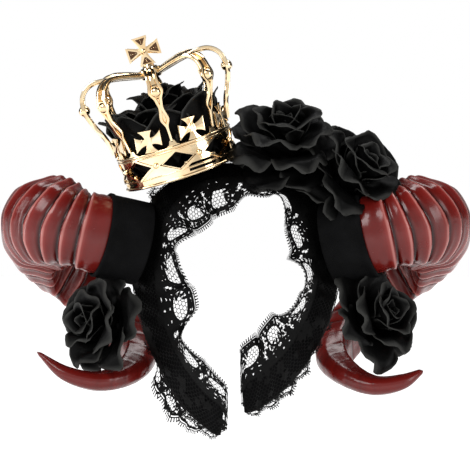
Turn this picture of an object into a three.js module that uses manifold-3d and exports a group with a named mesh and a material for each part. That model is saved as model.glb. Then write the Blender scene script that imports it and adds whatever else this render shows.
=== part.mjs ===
// Ram horns headband: a lace-trimmed black band with two ribbed horns, a small crown and fabric roses.
// Millimetres, +Z up, +X to the wearer's left, -Y towards the front.
// The origin is on the band's inner face at its top, where it sits on the head.
import * as THREE from "three";
import { mergeVertices } from "three/addons/utils/BufferGeometryUtils.js";
import Module from "manifold-3d";

const wasm = await Module();
wasm.setup();

// Clearances and cloth
const GAP = 0.3;
const CLOTH = 1.2;

// Headband: a padded strip bent into an open C, wider at its rear edge so that its face shows from the front
const BAND = { width: 28, thickness: 3, halfWide: 65, widest: -75 };
const BAND_BOTTOM = { left: -181, right: -162 };
const BAND_FLARE = { side: 18, top: 12, bottom: 25 };
const BAND_SQUARENESS = { upper: 2.4, lower: 1.6 };
const BAND_DEPTH = { upper: 21, ends: 13 };
const BAND_ENDS = { left: 257, right: -82 };
const BAND_TOP = BAND.thickness / 2 / Math.cos(Math.atan2(BAND_FLARE.top, BAND_DEPTH.upper));
const BAND_STEPS = 34;
const BAND_EDGE = { flat: 0.4, shoulder: 0.8 };

// Front lace: how far its free edge reaches inside the band, by the angle round the head opening
const FRONT_LACE_EDGE = [
  { turn: 262, reach: 5 },
  { turn: 256, reach: 18 },
  { turn: 238, reach: 20 },
  { turn: 218, reach: 10 },
  { turn: 205, reach: 28 },
  { turn: 187, reach: 28 },
  { turn: 170, reach: 17 },
  { turn: 157, reach: 15 },
  { turn: 141, reach: 27 },
  { turn: 116, reach: 30 },
  { turn: 95, reach: 25 },
  { turn: 78, reach: 13 },
  { turn: 56, reach: 6 },
  { turn: 42, reach: 19 },
  { turn: 24, reach: 19 },
  { turn: 14, reach: 24 },
  { turn: 1, reach: 9 },
  { turn: -20, reach: 12 },
  { turn: -42, reach: 26 },
  { turn: -64, reach: 29 },
  { turn: -78, reach: 28 },
  { turn: -82, reach: 14 },
];
const FRONT_LACE = { columns: 64, rows: 4, forward: 12, wave: 3.2, ruffles: 16, seam: 9, above: 0.4 };

// Rear lace: three lengths of ruffle along the band's rear edge, clear of the horn sleeves
const REAR_LACE_EDGE = [
  { turn: 256, outward: 3, back: 4 },
  { turn: 246, outward: 8, back: 5 },
  { turn: 234, outward: 15, back: 5 },
  { turn: 224, outward: 15, back: 5 },
  { turn: 215, outward: 3, back: 7 },
  { turn: 202, outward: 3, back: 7 },
  { turn: 142, outward: 6, back: 7 },
  { turn: 134, outward: 4, back: 9 },
  { turn: 122, outward: -2, back: 14 },
  { turn: 60, outward: -2, back: 14 },
  { turn: 38, outward: 2, back: 12 },
  { turn: -22, outward: 3, back: 7 },
  { turn: -36, outward: 3, back: 7 },
  { turn: -47, outward: 6, back: 6 },
  { turn: -60, outward: 7, back: 5 },
  { turn: -80, outward: 4, back: 4 },
];
const REAR_LACE = [
  { name: "lace_rear_left", from: 255, to: 202, columns: 20 },
  { name: "lace_rear_top", from: 142, to: 38, columns: 24 },
  { name: "lace_rear_right", from: -22, to: -80, columns: 20 },
];
const REAR_LACE_WAVE = { high: 1.8, perColumn: 0.25 };
const REAR_LACE_ROWS = 3;
const REAR_LACE_BEHIND = 0.5;
const LACE_HOLES = { margin: 2, every: 4, shift: 2 };

// Horn: sections along its coil, on the wearer's right; the other horn mirrors it but for its end
const HORN_SECTIONS = [
  { x: -79, y: 0, z: -48, tall: 27.5, deep: 25 },
  { x: -108, y: -9, z: -41, tall: 29, deep: 24 },
  { x: -136, y: -1, z: -36, tall: 34, deep: 22 },
  { x: -151, y: 28, z: -39, tall: 34, deep: 21.5 },
  { x: -138, y: 66, z: -61, tall: 29, deep: 19.5 },
  { x: -106, y: 80, z: -89, tall: 22, deep: 17 },
  { x: -81, y: 62, z: -115, tall: 17, deep: 14.5 },
  { x: -70, y: 31, z: -134, tall: 12.5, deep: 11.5 },
  { x: -79, y: 4, z: -145, tall: 9, deep: 9.5 },
  { x: -98, y: -11, z: -149, tall: 7.2, deep: 7.5 },
  { x: -122, y: -14, z: -143, tall: 5.4, deep: 4.8 },
  { x: -143, y: -7, z: -127.5, tall: 0.9, deep: 0.9 },
];
const HORN_RIGHT_END = [
  { x: -98, y: -11, z: -152, tall: 7.2, deep: 7.5 },
  { x: -119, y: -14, z: -149, tall: 5.6, deep: 5 },
  { x: -134, y: -9, z: -141, tall: 1.6, deep: 1.6 },
];
const HORN_OUTLINE = [
  { out: 1.0, up: 0.25 },
  { out: 0.78, up: 1.0 },
  { out: 0.2, up: 0.97 },
  { out: -0.5, up: 0.8 },
  { out: -0.97, up: 0.3 },
  { out: -0.92, up: -0.35 },
  { out: -0.4, up: -0.8 },
  { out: 0.25, up: -0.9 },
  { out: 0.93, up: -0.96 },
  { out: 1.0, up: -0.4 },
];
const HORN_RIBS = 24;
const HORN_RIBBED_TO = 0.86;
const HORN_RIB = { depth: 0.12, fade: 0.5, spread: 1.05 };
const HORN_TIP = [0.92, 0.96, 1];
const HORN_PLUG = 0.066;
const HORN_KEEL_FROM = 0.15;

// Sleeve: a plain fabric tube from the band to the horn's root
const SLEEVE = { wall: 1.5, loose: 1, inward: 12, outward: 20, sides: 16 };

// Crown, in its own frame: the base ring's centre is its origin
const CROWN_PLACE = { x: -38, y: 0, z: 0.7, leanDeg: -18, tipDeg: 7 };
const CIRCLET = { inner: 39.5, outer: 41.5, height: 24, segments: 24 };
const CIRCLET_MOULDING = { out: 1.1, tall: 2, rimTall: 2.6, slope: 1 };
const CUT_DEPTH = 12;
const DIAMOND = { wide: 24, tall: 12, height: 13 };
const SLOT = { tall: 2, spanDeg: 34, low: 4.2, high: 7.6 };
const RIM_CROSS = { wide: 22, tall: 17, thick: 2, waist: 2.2, flare: 6.2, sunk: 0.8, inset: 0.6 };
const RIM_BEAD = { radius: 2.2, height: 14, proud: 0.8 };
const RIM_POST = { wide: 3.4, thick: 2, tall: 4, sunk: 1, inset: 1 };
const ARCHES = 8;
const ARCH_RAIL = 1.1;
const ARCH_SECTIONS = [
  { radius: 42.5, height: 28, apart: 1.3 },
  { radius: 45.5, height: 41, apart: 3.4 },
  { radius: 50, height: 51, apart: 4.4 },
  { radius: 53.5, height: 64, apart: 5.0 },
  { radius: 51, height: 75, apart: 3.8 },
  { radius: 43, height: 80.5, apart: 2.6 },
  { radius: 26, height: 79, apart: 1.6 },
  { radius: 8, height: 75, apart: 1.4 },
];
const ARCH_PEARL = { radius: 4.3, section: 3 };
const HUB = { radius: 10, under: 7, low: 72, high: 80, sides: 8 };
const TOP_CROSS = { wide: 24.2, tall: 21, thick: 3, waist: 2.4, flare: 5.9, boss: 2.2 };
const TOP_CROSS_FOOT = { tall: 1.2, sunk: 0.6, ledge: 1 };
const TOP_CROSS_PANEL = { deep: 0.7, start: 4, end: 1.3, side: 2.2 };

// Roses: cups of lobed petals, one in another, round a bud
const PETAL_RINGS = [
  { count: 3, openDeg: 3, curlDeg: 14, long: 0.62, root: 0.17, base: 0.16, spinDeg: 10, across: 2, up: 2 },
  { count: 4, openDeg: 24, curlDeg: 34, long: 0.8, root: 0.24, base: 0.1, spinDeg: 40, across: 2, up: 2 },
  { count: 5, openDeg: 52, curlDeg: 44, long: 0.92, root: 0.3, base: 0.04, spinDeg: 0, across: 3, up: 3 },
];
const ROSES = [
  { name: "rose_top_inner", x: 32, y: 6, z: 17, size: 35, ax: 0.02, ay: -0.56, az: 0.83, spin: 34 },
  { name: "rose_top_outer", x: 79, y: 4, z: -3, size: 33, ax: 0.45, ay: -0.75, az: 0.48, spin: 20 },
  { name: "rose_left", x: -87, y: 4, z: -109, size: 33, ax: -0.45, ay: -0.85, az: 0, spin: 35 },
  { name: "rose_right", x: 90, y: 5, z: -108, size: 33, ax: 0.45, ay: -0.85, az: 0.05, spin: 5 },
];
const CROWN_ROSE = { size: 37, low: 28, foot: 38.6, footLow: 0.6, footHigh: 5, stem: 12, spin: 10 };
const CROWN_CUP = {
  size: 37.1,
  count: 8,
  openDeg: 1,
  curlDeg: 3,
  long: 1.05,
  root: 0.9,
  base: 0.08,
  spinDeg: 0,
  across: 2,
  up: 1,
};
const PETAL = { overlap: 0.09, notch: 0.34, steps: 6 };
const BUD = { radius: 0.14, height: 0.62, sides: 6 };
const CALYX = { radius: 0.38, foot: 0.34, low: -0.3, high: 0.22 };

// Colours
const BLACK_SATIN = { color: 0x16161a, roughness: 0.7, metalness: 0 };
const BLACK_LACE = { color: 0x101012, roughness: 0.85, metalness: 0 };
const BLACK_FABRIC = { color: 0x0e0e10, roughness: 0.9, metalness: 0 };
const DARK_RED = { color: 0x6e1512, roughness: 0.25, metalness: 0 };
const PALE_GOLD = { color: 0xe2c89a, roughness: 0.12, metalness: 1 };

const rad = THREE.MathUtils.degToRad;

// Solids: a closed geometry as a solid, and back
function solidOf(geometry) {
  const bare = new THREE.BufferGeometry();
  bare.setAttribute("position", geometry.getAttribute("position").clone());
  if (geometry.index) bare.setIndex(geometry.index.clone());
  const merged = mergeVertices(bare, 1e-4);
  const mesh = new wasm.Mesh({
    numProp: 3,
    vertProperties: new Float32Array(merged.attributes.position.array),
    triVerts: new Uint32Array(merged.index.array),
  });
  return new wasm.Manifold(mesh);
}

function geometryOf(solid) {
  const mesh = solid.getMesh();
  const geometry = new THREE.BufferGeometry();
  geometry.setAttribute("position", new THREE.BufferAttribute(mesh.vertProperties, 3));
  geometry.setIndex(new THREE.BufferAttribute(mesh.triVerts, 1));
  geometry.computeVertexNormals();
  return geometry;
}

function joined(solids) {
  return solids.reduce((whole, next) => whole.add(next));
}

function largest(solid) {
  return solid.decompose().reduce((most, next) => (next.volume() > most.volume() ? next : most));
}

// A closed skin through rings of points that run the same way round, with a fan over each end
function loft(rings) {
  const count = rings[0].length;
  const points = rings.flat();
  const faces = [];
  for (let i = 0; i + 1 < rings.length; i++) {
    for (let j = 0; j < count; j++) {
      const a = i * count + j;
      const b = i * count + ((j + 1) % count);
      faces.push(a, b, b + count, a, b + count, a + count);
    }
  }
  const middles = [rings[0], rings[rings.length - 1]].map((ring) =>
    ring.reduce((sum, p) => sum.add(p), new THREE.Vector3()).divideScalar(count),
  );
  const first = points.push(middles[0]) - 1;
  const last = points.push(middles[1]) - 1;
  const end = (rings.length - 1) * count;
  for (let j = 0; j < count; j++) {
    const next = (j + 1) % count;
    faces.push(first, next, j, last, end + j, end + next);
  }
  const geometry = new THREE.BufferGeometry().setFromPoints(points);
  geometry.setIndex(faces);
  return outward(geometry);
}

// Turns every face round if the body is inside out
function outward(geometry) {
  const p = geometry.getAttribute("position");
  const faces = geometry.index.array;
  const [a, b, c] = [new THREE.Vector3(), new THREE.Vector3(), new THREE.Vector3()];
  let volume = 0;
  for (let i = 0; i < faces.length; i += 3) {
    a.fromBufferAttribute(p, faces[i]);
    b.fromBufferAttribute(p, faces[i + 1]);
    c.fromBufferAttribute(p, faces[i + 2]);
    volume += a.dot(b.cross(c));
  }
  if (volume < 0) {
    for (let i = 0; i < faces.length; i += 3) {
      [faces[i + 1], faces[i + 2]] = [faces[i + 2], faces[i + 1]];
    }
  }
  return geometry;
}

// A sheet of cloth with a thickness over the surface place(u, v); open(i, j) leaves a cell out,
// and a sheet that runs round on itself in u is a loop
function sheet(columns, rows, place, thickness, { open = () => false, loop = false } = {}) {
  const step = 1 / columns / 2;
  const sides = [[], []];
  const wide = loop ? columns : columns + 1;
  for (let j = 0; j <= rows; j++) {
    for (let i = 0; i < wide; i++) {
      const u = i / columns;
      const v = j / rows;
      const [u0, u1] = loop ? [u - step, u + step] : [Math.max(u - step, 0), Math.min(u + step, 1)];
      const du = place(u1, v).sub(place(u0, v));
      const dv = place(u, Math.min(v + step, 1)).sub(place(u, Math.max(v - step, 0)));
      const normal = du.cross(dv).normalize();
      sides[0].push(place(u, v).addScaledVector(normal, thickness / 2));
      sides[1].push(place(u, v).addScaledVector(normal, -thickness / 2));
    }
  }
  const under = sides[0].length;
  const inside = (i, j) => j >= 0 && j < rows && (loop || (i >= 0 && i < columns));
  const solid = (i, j) => inside(i, j) && !open(i, j);
  const faces = [];
  const wall = (a, b) => faces.push(a, a + under, b + under, a, b + under, b);
  for (let j = 0; j < rows; j++) {
    for (let i = 0; i < columns; i++) {
      if (!solid(i, j)) continue;
      const a = j * wide + i;
      const b = j * wide + ((i + 1) % wide);
      const [c, d] = [b + wide, a + wide];
      faces.push(a, b, c, a, c, d);
      faces.push(a + under, c + under, b + under, a + under, d + under, c + under);
      if (!solid(i, j - 1)) wall(a, b);
      if (!solid(i + 1, j)) wall(b, c);
      if (!solid(i, j + 1)) wall(c, d);
      if (!solid(i - 1, j)) wall(d, a);
    }
  }
  const geometry = new THREE.BufferGeometry().setFromPoints(sides.flat());
  geometry.setIndex(faces);
  return outward(geometry);
}

// Value of a named column between the rows of a table that falls in turn
function between(table, turn, column) {
  const after = Math.max(1, table.findIndex((row) => row.turn <= turn));
  const [a, b] = [table[after - 1], table[after]];
  const t = THREE.MathUtils.clamp((turn - a.turn) / (b.turn - a.turn), 0, 1);
  return THREE.MathUtils.lerp(a[column], b[column], THREE.MathUtils.smoothstep(t, 0, 1));
}

// Headband surface: turn 90 is the top, 0 and 180 the sides; across runs from -1, the front edge, to 1
function bandPoint(turn, across) {
  const half = across / 2;
  const [c, s] = [Math.cos(rad(turn)), Math.sin(rad(turn))];
  const upper = s > 0;
  const top = BAND_TOP + half * BAND_FLARE.top - BAND.widest;
  const low = c < 0 ? BAND_BOTTOM.left : BAND_BOTTOM.right;
  const bottom = BAND.widest - low + half * BAND_FLARE.bottom;
  const wide = BAND.halfWide + half * BAND_FLARE.side;
  const power = 2 / (upper ? BAND_SQUARENESS.upper : BAND_SQUARENESS.lower);
  const x = wide * Math.sign(c) * Math.abs(c) ** power;
  const z = BAND.widest + (upper ? top : -bottom) * Math.abs(s) ** power;
  const depth = THREE.MathUtils.lerp(BAND_DEPTH.upper, BAND_DEPTH.ends, upper ? 0 : Math.abs(s) ** 3);
  return new THREE.Vector3(x, half * depth, z);
}

// The direction that the band's outer face looks in
function bandNormal(turn) {
  const along = bandPoint(turn - 0.5, 0).sub(bandPoint(turn + 0.5, 0));
  const across = bandPoint(turn, 1).sub(bandPoint(turn, -1));
  const normal = along.cross(across).normalize();
  const middle = new THREE.Vector3(0, 0, BAND.widest);
  return normal.dot(bandPoint(turn, 0).sub(middle)) < 0 ? normal.negate() : normal;
}

function bandGeometry(grow = 0) {
  const { flat, shoulder } = BAND_EDGE;
  const half = BAND.thickness / 2 + grow;
  const edge = 1 + (2 * grow) / BAND.width;
  const rings = [];
  for (let i = 0; i <= BAND_STEPS; i++) {
    const turn = THREE.MathUtils.lerp(BAND_ENDS.left, BAND_ENDS.right, i / BAND_STEPS);
    const normal = bandNormal(turn);
    const at = (across, height) => bandPoint(turn, across).addScaledVector(normal, height);
    rings.push([
      at(-edge, -half * flat),
      at(-edge * shoulder, -half),
      at(edge * shoulder, -half),
      at(edge, -half * flat),
      at(edge, half * flat),
      at(edge * shoulder, half),
      at(-edge * shoulder, half),
      at(-edge, half * flat),
    ]);
  }
  return loft(rings);
}

// Front lace: lies on the band's outer face from its seam to the front edge, then runs free inwards
function frontLacePoint(u, v) {
  const turn = THREE.MathUtils.lerp(BAND_ENDS.left - 1, BAND_ENDS.right + 1, u);
  const normal = bandNormal(turn);
  const lift = BAND.thickness / 2 + FRONT_LACE.above + CLOTH / 2;
  const reach = between(FRONT_LACE_EDGE, turn, "reach");
  const seamShare = 1 / FRONT_LACE.rows;
  const edge = bandPoint(turn, -1).addScaledVector(normal, lift);
  if (v <= seamShare) {
    const across = -1 + (FRONT_LACE.seam / BAND.width) * 2 * (1 - v / seamShare);
    return bandPoint(turn, across).addScaledVector(normal, lift);
  }
  const out = (v - seamShare) / (1 - seamShare);
  const centre = new THREE.Vector3(0, edge.y, BAND.widest);
  const inward = centre.sub(edge).setY(0).normalize();
  const wave = FRONT_LACE.wave * Math.sin(u * FRONT_LACE.ruffles * 2 * Math.PI) * out;
  return edge
    .clone()
    .addScaledVector(inward, reach * out)
    .add(new THREE.Vector3(0, -FRONT_LACE.forward * out + wave, 0));
}

function laceOpen(columns, rows) {
  return (i, j) => {
    const { margin, every, shift } = LACE_HOLES;
    const inside = i >= margin && i < columns - margin && j > 0 && j < rows - 1;
    return inside && (i + shift * j) % every === 0;
  };
}

function rearLacePoint(strip, u, v) {
  const turn = THREE.MathUtils.lerp(strip.from, strip.to, u);
  const normal = bandNormal(turn);
  const inward = bandPoint(turn, 1).sub(bandPoint(turn, -1)).normalize();
  const start = bandPoint(turn, 1).addScaledVector(inward, REAR_LACE_BEHIND);
  const radial = new THREE.Vector3(start.x, 0, start.z - BAND.widest).normalize();
  const ruffles = strip.columns * REAR_LACE_WAVE.perColumn;
  const wave = REAR_LACE_WAVE.high * Math.sin(u * ruffles * 2 * Math.PI) * v;
  return start
    .addScaledVector(radial, between(REAR_LACE_EDGE, turn, "outward") * v)
    .addScaledVector(normal, wave)
    .add(new THREE.Vector3(0, between(REAR_LACE_EDGE, turn, "back") * v, 0));
}

// Horn: the sections' outline goes from round at the root to keeled, and ribs swell round it
function hornFrames(rows) {
  const path = new THREE.CatmullRomCurve3(
    rows.map((row) => new THREE.Vector3(row.x, row.y, row.z)),
    false,
    "centripetal",
  );
  const sizes = new THREE.CatmullRomCurve3(
    rows.map((row) => new THREE.Vector3(row.tall, row.deep, 0)),
    false,
    "centripetal",
  );
  return (t) => {
    const point = path.getPoint(t);
    const along = path.getTangent(t);
    const up = new THREE.Vector3(0, 0, 1).addScaledVector(along, -along.z).normalize();
    const out = new THREE.Vector3().crossVectors(along, up).normalize();
    const size = sizes.getPoint(t);
    return { point, along, up, out, tall: size.x, deep: size.y };
  };
}

function hornRing(frame, t, grow) {
  const keel = THREE.MathUtils.smoothstep(t, HORN_PLUG, HORN_KEEL_FROM);
  return HORN_OUTLINE.map((corner) => {
    const turn = Math.atan2(corner.up, corner.out);
    const out = THREE.MathUtils.lerp(Math.cos(turn), corner.out, keel);
    const up = THREE.MathUtils.lerp(Math.sin(turn), corner.up, keel);
    return frame.point
      .clone()
      .addScaledVector(frame.out, out * (frame.deep + grow))
      .addScaledVector(frame.up, up * (frame.tall + grow));
  });
}

function hornGeometry(rows, grow = 0) {
  const frameAt = hornFrames(rows);
  const rings = [hornRing(frameAt(0), 0, grow)];
  const ribs = HORN_RIBBED_TO - HORN_PLUG;
  for (let i = 0; i <= HORN_RIBS * 2; i++) {
    const share = i / (HORN_RIBS * 2);
    const t = HORN_PLUG + ribs * share ** HORN_RIB.spread;
    const frame = frameAt(t);
    const groove = i > 0 && i % 2 === 0;
    const size = groove ? 1 - HORN_RIB.depth * (1 - HORN_RIB.fade * share) : 1;
    frame.tall *= size;
    frame.deep *= size;
    rings.push(hornRing(frame, t, grow));
  }
  for (const t of HORN_TIP) {
    rings.push(hornRing(frameAt(t), t, grow));
  }
  return loft(rings);
}

// Sleeve: straight along the horn's root, its inner end cut to the band
function sleeveSolid(grow = 0) {
  const root = hornFrames(HORN_SECTIONS)(0);
  const ring = (distance, size) => {
    const points = [];
    for (let k = 0; k < SLEEVE.sides; k++) {
      const turn = (k / SLEEVE.sides) * 2 * Math.PI;
      points.push(
        root.point
          .clone()
          .addScaledVector(root.along, distance)
          .addScaledVector(root.out, Math.cos(turn) * (root.deep + size))
          .addScaledVector(root.up, Math.sin(turn) * (root.tall + size)),
      );
    }
    return points;
  };
  const bare = GAP + SLEEVE.loose;
  const outer = bare + SLEEVE.wall + grow;
  const shell = loft([ring(-SLEEVE.inward - grow, outer), ring(SLEEVE.outward + grow, outer)]);
  if (grow > 0) return solidOf(shell);
  const bore = loft([ring(-SLEEVE.inward - 1, bare), ring(SLEEVE.outward + 1, bare)]);
  return solidOf(shell).subtract(solidOf(bore));
}

function mirrored(solid) {
  return solid.mirror([1, 0, 0]);
}

// Crown: ring, crosses and beads
function crossOutline(wide, tall, waist, flare) {
  const shape = new THREE.Shape();
  const arms = [
    { x: 1, y: 0, reach: wide / 2 },
    { x: 0, y: 1, reach: tall / 2 },
    { x: -1, y: 0, reach: wide / 2 },
    { x: 0, y: -1, reach: tall / 2 },
  ];
  arms.forEach((arm, i) => {
    const side = { x: -arm.y, y: arm.x };
    const at = (far, off) => [arm.x * far + side.x * off, arm.y * far + side.y * off];
    if (i === 0) shape.moveTo(...at(arm.reach, -flare));
    else shape.lineTo(...at(arm.reach, -flare));
    shape.lineTo(...at(arm.reach, flare));
    shape.lineTo(...at(waist, waist));
  });
  return shape;
}

// A flat shape drawn in the X-Z plane, given a thickness along Y
function plate(shape, thick) {
  const geometry = new THREE.ExtrudeGeometry(shape, { depth: thick, bevelEnabled: false });
  return geometry.translate(0, 0, -thick / 2).rotateX(Math.PI / 2);
}

function circletSolid() {
  const r = CIRCLET;
  const m = CIRCLET_MOULDING;
  const profile = [
    [r.inner, 0],
    [r.outer + m.out, 0],
    [r.outer + m.out, m.tall],
    [r.outer, m.tall + m.slope],
    [r.outer, r.height - m.rimTall - m.slope],
    [r.outer + m.out, r.height - m.rimTall],
    [r.outer + m.out, r.height],
    [r.inner, r.height],
    [r.inner, 0],
  ].map(([radius, height]) => new THREE.Vector2(radius, height));
  const ring = new THREE.LatheGeometry(profile, r.segments).rotateX(Math.PI / 2);
  let body = solidOf(outward(mergeVertices(bareOf(ring), 1e-4)));
  const adds = [];
  const cuts = [];
  for (let k = 0; k < ARCHES; k++) {
    const arch = (k / ARCHES) * 2 * Math.PI;
    const bay = arch + Math.PI / ARCHES;
    const rhomb = new THREE.Shape();
    rhomb.moveTo(-DIAMOND.wide / 2, 0);
    rhomb.lineTo(0, -DIAMOND.tall / 2);
    rhomb.lineTo(DIAMOND.wide / 2, 0);
    rhomb.lineTo(0, DIAMOND.tall / 2);
    cuts.push(onRing(plate(rhomb, CUT_DEPTH), r.outer, DIAMOND.height, arch));
    const post = new THREE.BoxGeometry(RIM_POST.wide, RIM_POST.thick, RIM_POST.tall + RIM_POST.sunk);
    const postHeight = r.height + (RIM_POST.tall - RIM_POST.sunk) / 2 - GAP;
    adds.push(onRing(post, r.outer - RIM_POST.inset, postHeight, arch));
    const outline = crossOutline(RIM_CROSS.wide, RIM_CROSS.tall, RIM_CROSS.waist, RIM_CROSS.flare);
    const cross = plate(outline, RIM_CROSS.thick);
    const crossHeight = r.height + RIM_CROSS.tall / 2 - RIM_CROSS.sunk;
    adds.push(onRing(cross, r.outer - RIM_CROSS.inset, crossHeight, bay));
    const bead = new THREE.OctahedronGeometry(RIM_BEAD.radius, 1);
    adds.push(onRing(bead, r.outer + RIM_BEAD.proud, RIM_BEAD.height, bay));
    if (k % 2 === 0) {
      const slotWide = 2 * r.outer * Math.sin(rad(SLOT.spanDeg / 2));
      const slot = new THREE.BoxGeometry(slotWide, CUT_DEPTH, SLOT.tall);
      cuts.push(onRing(slot, r.outer, SLOT.low, bay));
      cuts.push(onRing(slot, r.outer, SLOT.high, bay));
    }
  }
  body = joined([body, ...adds.map(solidOf)]);
  for (const cut of cuts) body = body.subtract(solidOf(cut));
  return body;
}

// A piece made round the origin, set on the ring at an angle, facing outwards
function onRing(geometry, radius, height, angle) {
  return geometry
    .clone()
    .translate(0, -radius, height)
    .rotateZ(angle);
}

function bareOf(geometry) {
  const bare = new THREE.BufferGeometry();
  bare.setAttribute("position", geometry.getAttribute("position"));
  bare.setIndex(geometry.index);
  return bare;
}

function archSolid(angle) {
  const rails = [-1, 1].map((side) => {
    const rings = ARCH_SECTIONS.map((row, i) => {
      const before = ARCH_SECTIONS[Math.max(i - 1, 0)];
      const after = ARCH_SECTIONS[Math.min(i + 1, ARCH_SECTIONS.length - 1)];
      const along = new THREE.Vector2(after.radius - before.radius, after.height - before.height);
      const out = new THREE.Vector2(along.y, -along.x).normalize().multiplyScalar(ARCH_RAIL);
      const at = (sx, so) =>
        new THREE.Vector3(
          side * row.apart + sx * ARCH_RAIL,
          -(row.radius + so * out.x),
          row.height + so * out.y,
        );
      return [at(-1, -1), at(1, -1), at(1, 1), at(-1, 1)];
    });
    return solidOf(loft(rings));
  });
  const row = ARCH_SECTIONS[ARCH_PEARL.section];
  const pearl = new THREE.OctahedronGeometry(ARCH_PEARL.radius, 1);
  pearl.translate(0, -row.radius, row.height);
  const arch = joined([...rails, solidOf(pearl)]);
  return arch.rotate([0, 0, THREE.MathUtils.radToDeg(angle)]);
}

function archesSolid() {
  const height = HUB.high - HUB.low;
  const hub = new THREE.CylinderGeometry(HUB.radius, HUB.under, height, HUB.sides);
  hub.rotateX(Math.PI / 2).translate(0, 0, HUB.low + height / 2);
  const arches = [];
  for (let k = 0; k < ARCHES; k++) {
    arches.push(archSolid((k / ARCHES) * 2 * Math.PI));
  }
  return joined([solidOf(hub), ...arches]);
}

function topCrossSolid() {
  const c = TOP_CROSS;
  const f = TOP_CROSS_FOOT;
  const p = TOP_CROSS_PANEL;
  const outline = crossOutline(c.wide, c.tall, c.waist, c.flare);
  const lift = HUB.high + GAP + f.tall + c.tall / 2;
  let body = solidOf(plate(outline, c.thick).translate(0, 0, lift));
  const foot = new THREE.BoxGeometry(c.flare * 2, c.thick + f.ledge * 2, f.tall + f.sunk);
  foot.translate(0, 0, HUB.high + GAP + (f.tall + f.sunk) / 2);
  const boss = new THREE.OctahedronGeometry(c.boss, 1).translate(0, 0, lift);
  body = joined([body, solidOf(foot), solidOf(boss)]);
  for (const [arm, reach] of [c.wide, c.tall, c.wide, c.tall].entries()) {
    const panel = new THREE.Shape();
    panel.moveTo(p.start, 0);
    panel.lineTo(reach / 2 - p.end, -c.flare + p.side);
    panel.lineTo(reach / 2 - p.end, c.flare - p.side);
    for (const side of [-1, 1]) {
      const pocket = plate(panel, p.deep * 2);
      pocket.rotateY((-arm * Math.PI) / 2).translate(0, (side * c.thick) / 2, lift);
      body = body.subtract(solidOf(pocket));
    }
  }
  return body;
}

// Rose: a cup of petals that overlap like tiles, opening round the rose's own axis, +Z out of it
function petalPoint(ring, size, spin, u, v) {
  const lobe = (((u * ring.count) % 1) + 1) % 1;
  const side = lobe * 2 - 1;
  const up = v * (1 - PETAL.notch * side ** 4);
  const { steps } = PETAL;
  let radius = size * (ring.root + PETAL.overlap * lobe * v);
  let height = size * ring.base;
  for (let i = 0; i < steps; i++) {
    const part = ((i + 0.5) / steps) * up;
    const angle = rad((ring.openDeg * (1 + part)) / 2 + ring.curlDeg * part ** 2);
    radius += (Math.sin(angle) * ring.long * size * up) / steps;
    height += (Math.cos(angle) * ring.long * size * up) / steps;
  }
  const turn = rad(spin + ring.spinDeg) + u * 2 * Math.PI;
  return new THREE.Vector3(radius * Math.cos(turn), radius * Math.sin(turn), height);
}

function roseSolid(size, spin) {
  const bud = new THREE.SphereGeometry(size * BUD.radius, BUD.sides, 4).rotateX(Math.PI / 2);
  bud.scale(1, 1, BUD.height / BUD.radius / 2).translate(0, 0, (size * BUD.height) / 2);
  const calyxHeight = size * (CALYX.high - CALYX.low);
  const calyx = new THREE.CylinderGeometry(size * CALYX.radius, size * CALYX.foot, calyxHeight, BUD.sides);
  calyx.rotateX(Math.PI / 2).translate(0, 0, (size * (CALYX.high + CALYX.low)) / 2);
  const cups = PETAL_RINGS.map((ring) => petalCup(ring, size, spin));
  return joined([solidOf(bud), solidOf(calyx), ...cups]);
}

function petalCup(ring, size, spin) {
  const place = (u, v) => petalPoint(ring, size, spin, u, v);
  return solidOf(sheet(ring.count * ring.across, ring.up, place, CLOTH, { loop: true }));
}

// The crown's rose stands on a round foot that fills the base ring, inside a taller cup of petals
function crownRoseSolid() {
  const c = CROWN_ROSE;
  const upright = (radius, low, high, sides) => {
    const post = new THREE.CylinderGeometry(radius, radius, high - low, sides);
    return solidOf(post.rotateX(Math.PI / 2).translate(0, 0, (low + high) / 2));
  };
  return joined([
    upright(c.foot, c.footLow, c.footHigh, CIRCLET.segments),
    upright(c.stem, c.footLow, c.low, BUD.sides),
    petalCup(CROWN_CUP, CROWN_CUP.size, c.spin),
    roseSolid(c.size, c.spin).translate([0, 0, c.low]),
  ]);
}

// The scene graph
const headpiece = new THREE.Group();

function addMesh(parent, name, solid, look) {
  const mesh = new THREE.Mesh(geometryOf(solid), new THREE.MeshStandardMaterial(look));
  mesh.name = name;
  parent.add(mesh);
  return mesh;
}

// Cuts the room of neighbours, given in the part's frame, out of a mesh that may be placed and turned
function clearOf(mesh, neighbours) {
  mesh.updateWorldMatrix(true, false);
  const inverse = mesh.matrixWorld.clone().invert();
  let body = solidOf(mesh.geometry);
  for (const neighbour of neighbours) {
    body = body.subtract(neighbour.transform(inverse.elements));
  }
  mesh.geometry = geometryOf(largest(body));
}

const bandRoom = solidOf(bandGeometry(GAP));
const rightHornRows = [...HORN_SECTIONS.slice(0, -HORN_RIGHT_END.length), ...HORN_RIGHT_END];
const hornRooms = [
  solidOf(hornGeometry(HORN_SECTIONS, GAP)),
  mirrored(solidOf(hornGeometry(rightHornRows, GAP))),
];
const sleeveRoom = sleeveSolid(GAP);
const rooms = [bandRoom, ...hornRooms, sleeveRoom, mirrored(sleeveRoom)];

addMesh(headpiece, "headband", solidOf(bandGeometry()), BLACK_FABRIC);

addMesh(headpiece, "horn_left", solidOf(hornGeometry(HORN_SECTIONS)), DARK_RED);
addMesh(headpiece, "horn_right", mirrored(solidOf(hornGeometry(rightHornRows))), DARK_RED);

const sleeve = sleeveSolid();
for (const [name, solid] of [["sleeve_left", sleeve], ["sleeve_right", mirrored(sleeve)]]) {
  clearOf(addMesh(headpiece, name, solid, BLACK_FABRIC), [bandRoom, ...hornRooms]);
}

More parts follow.
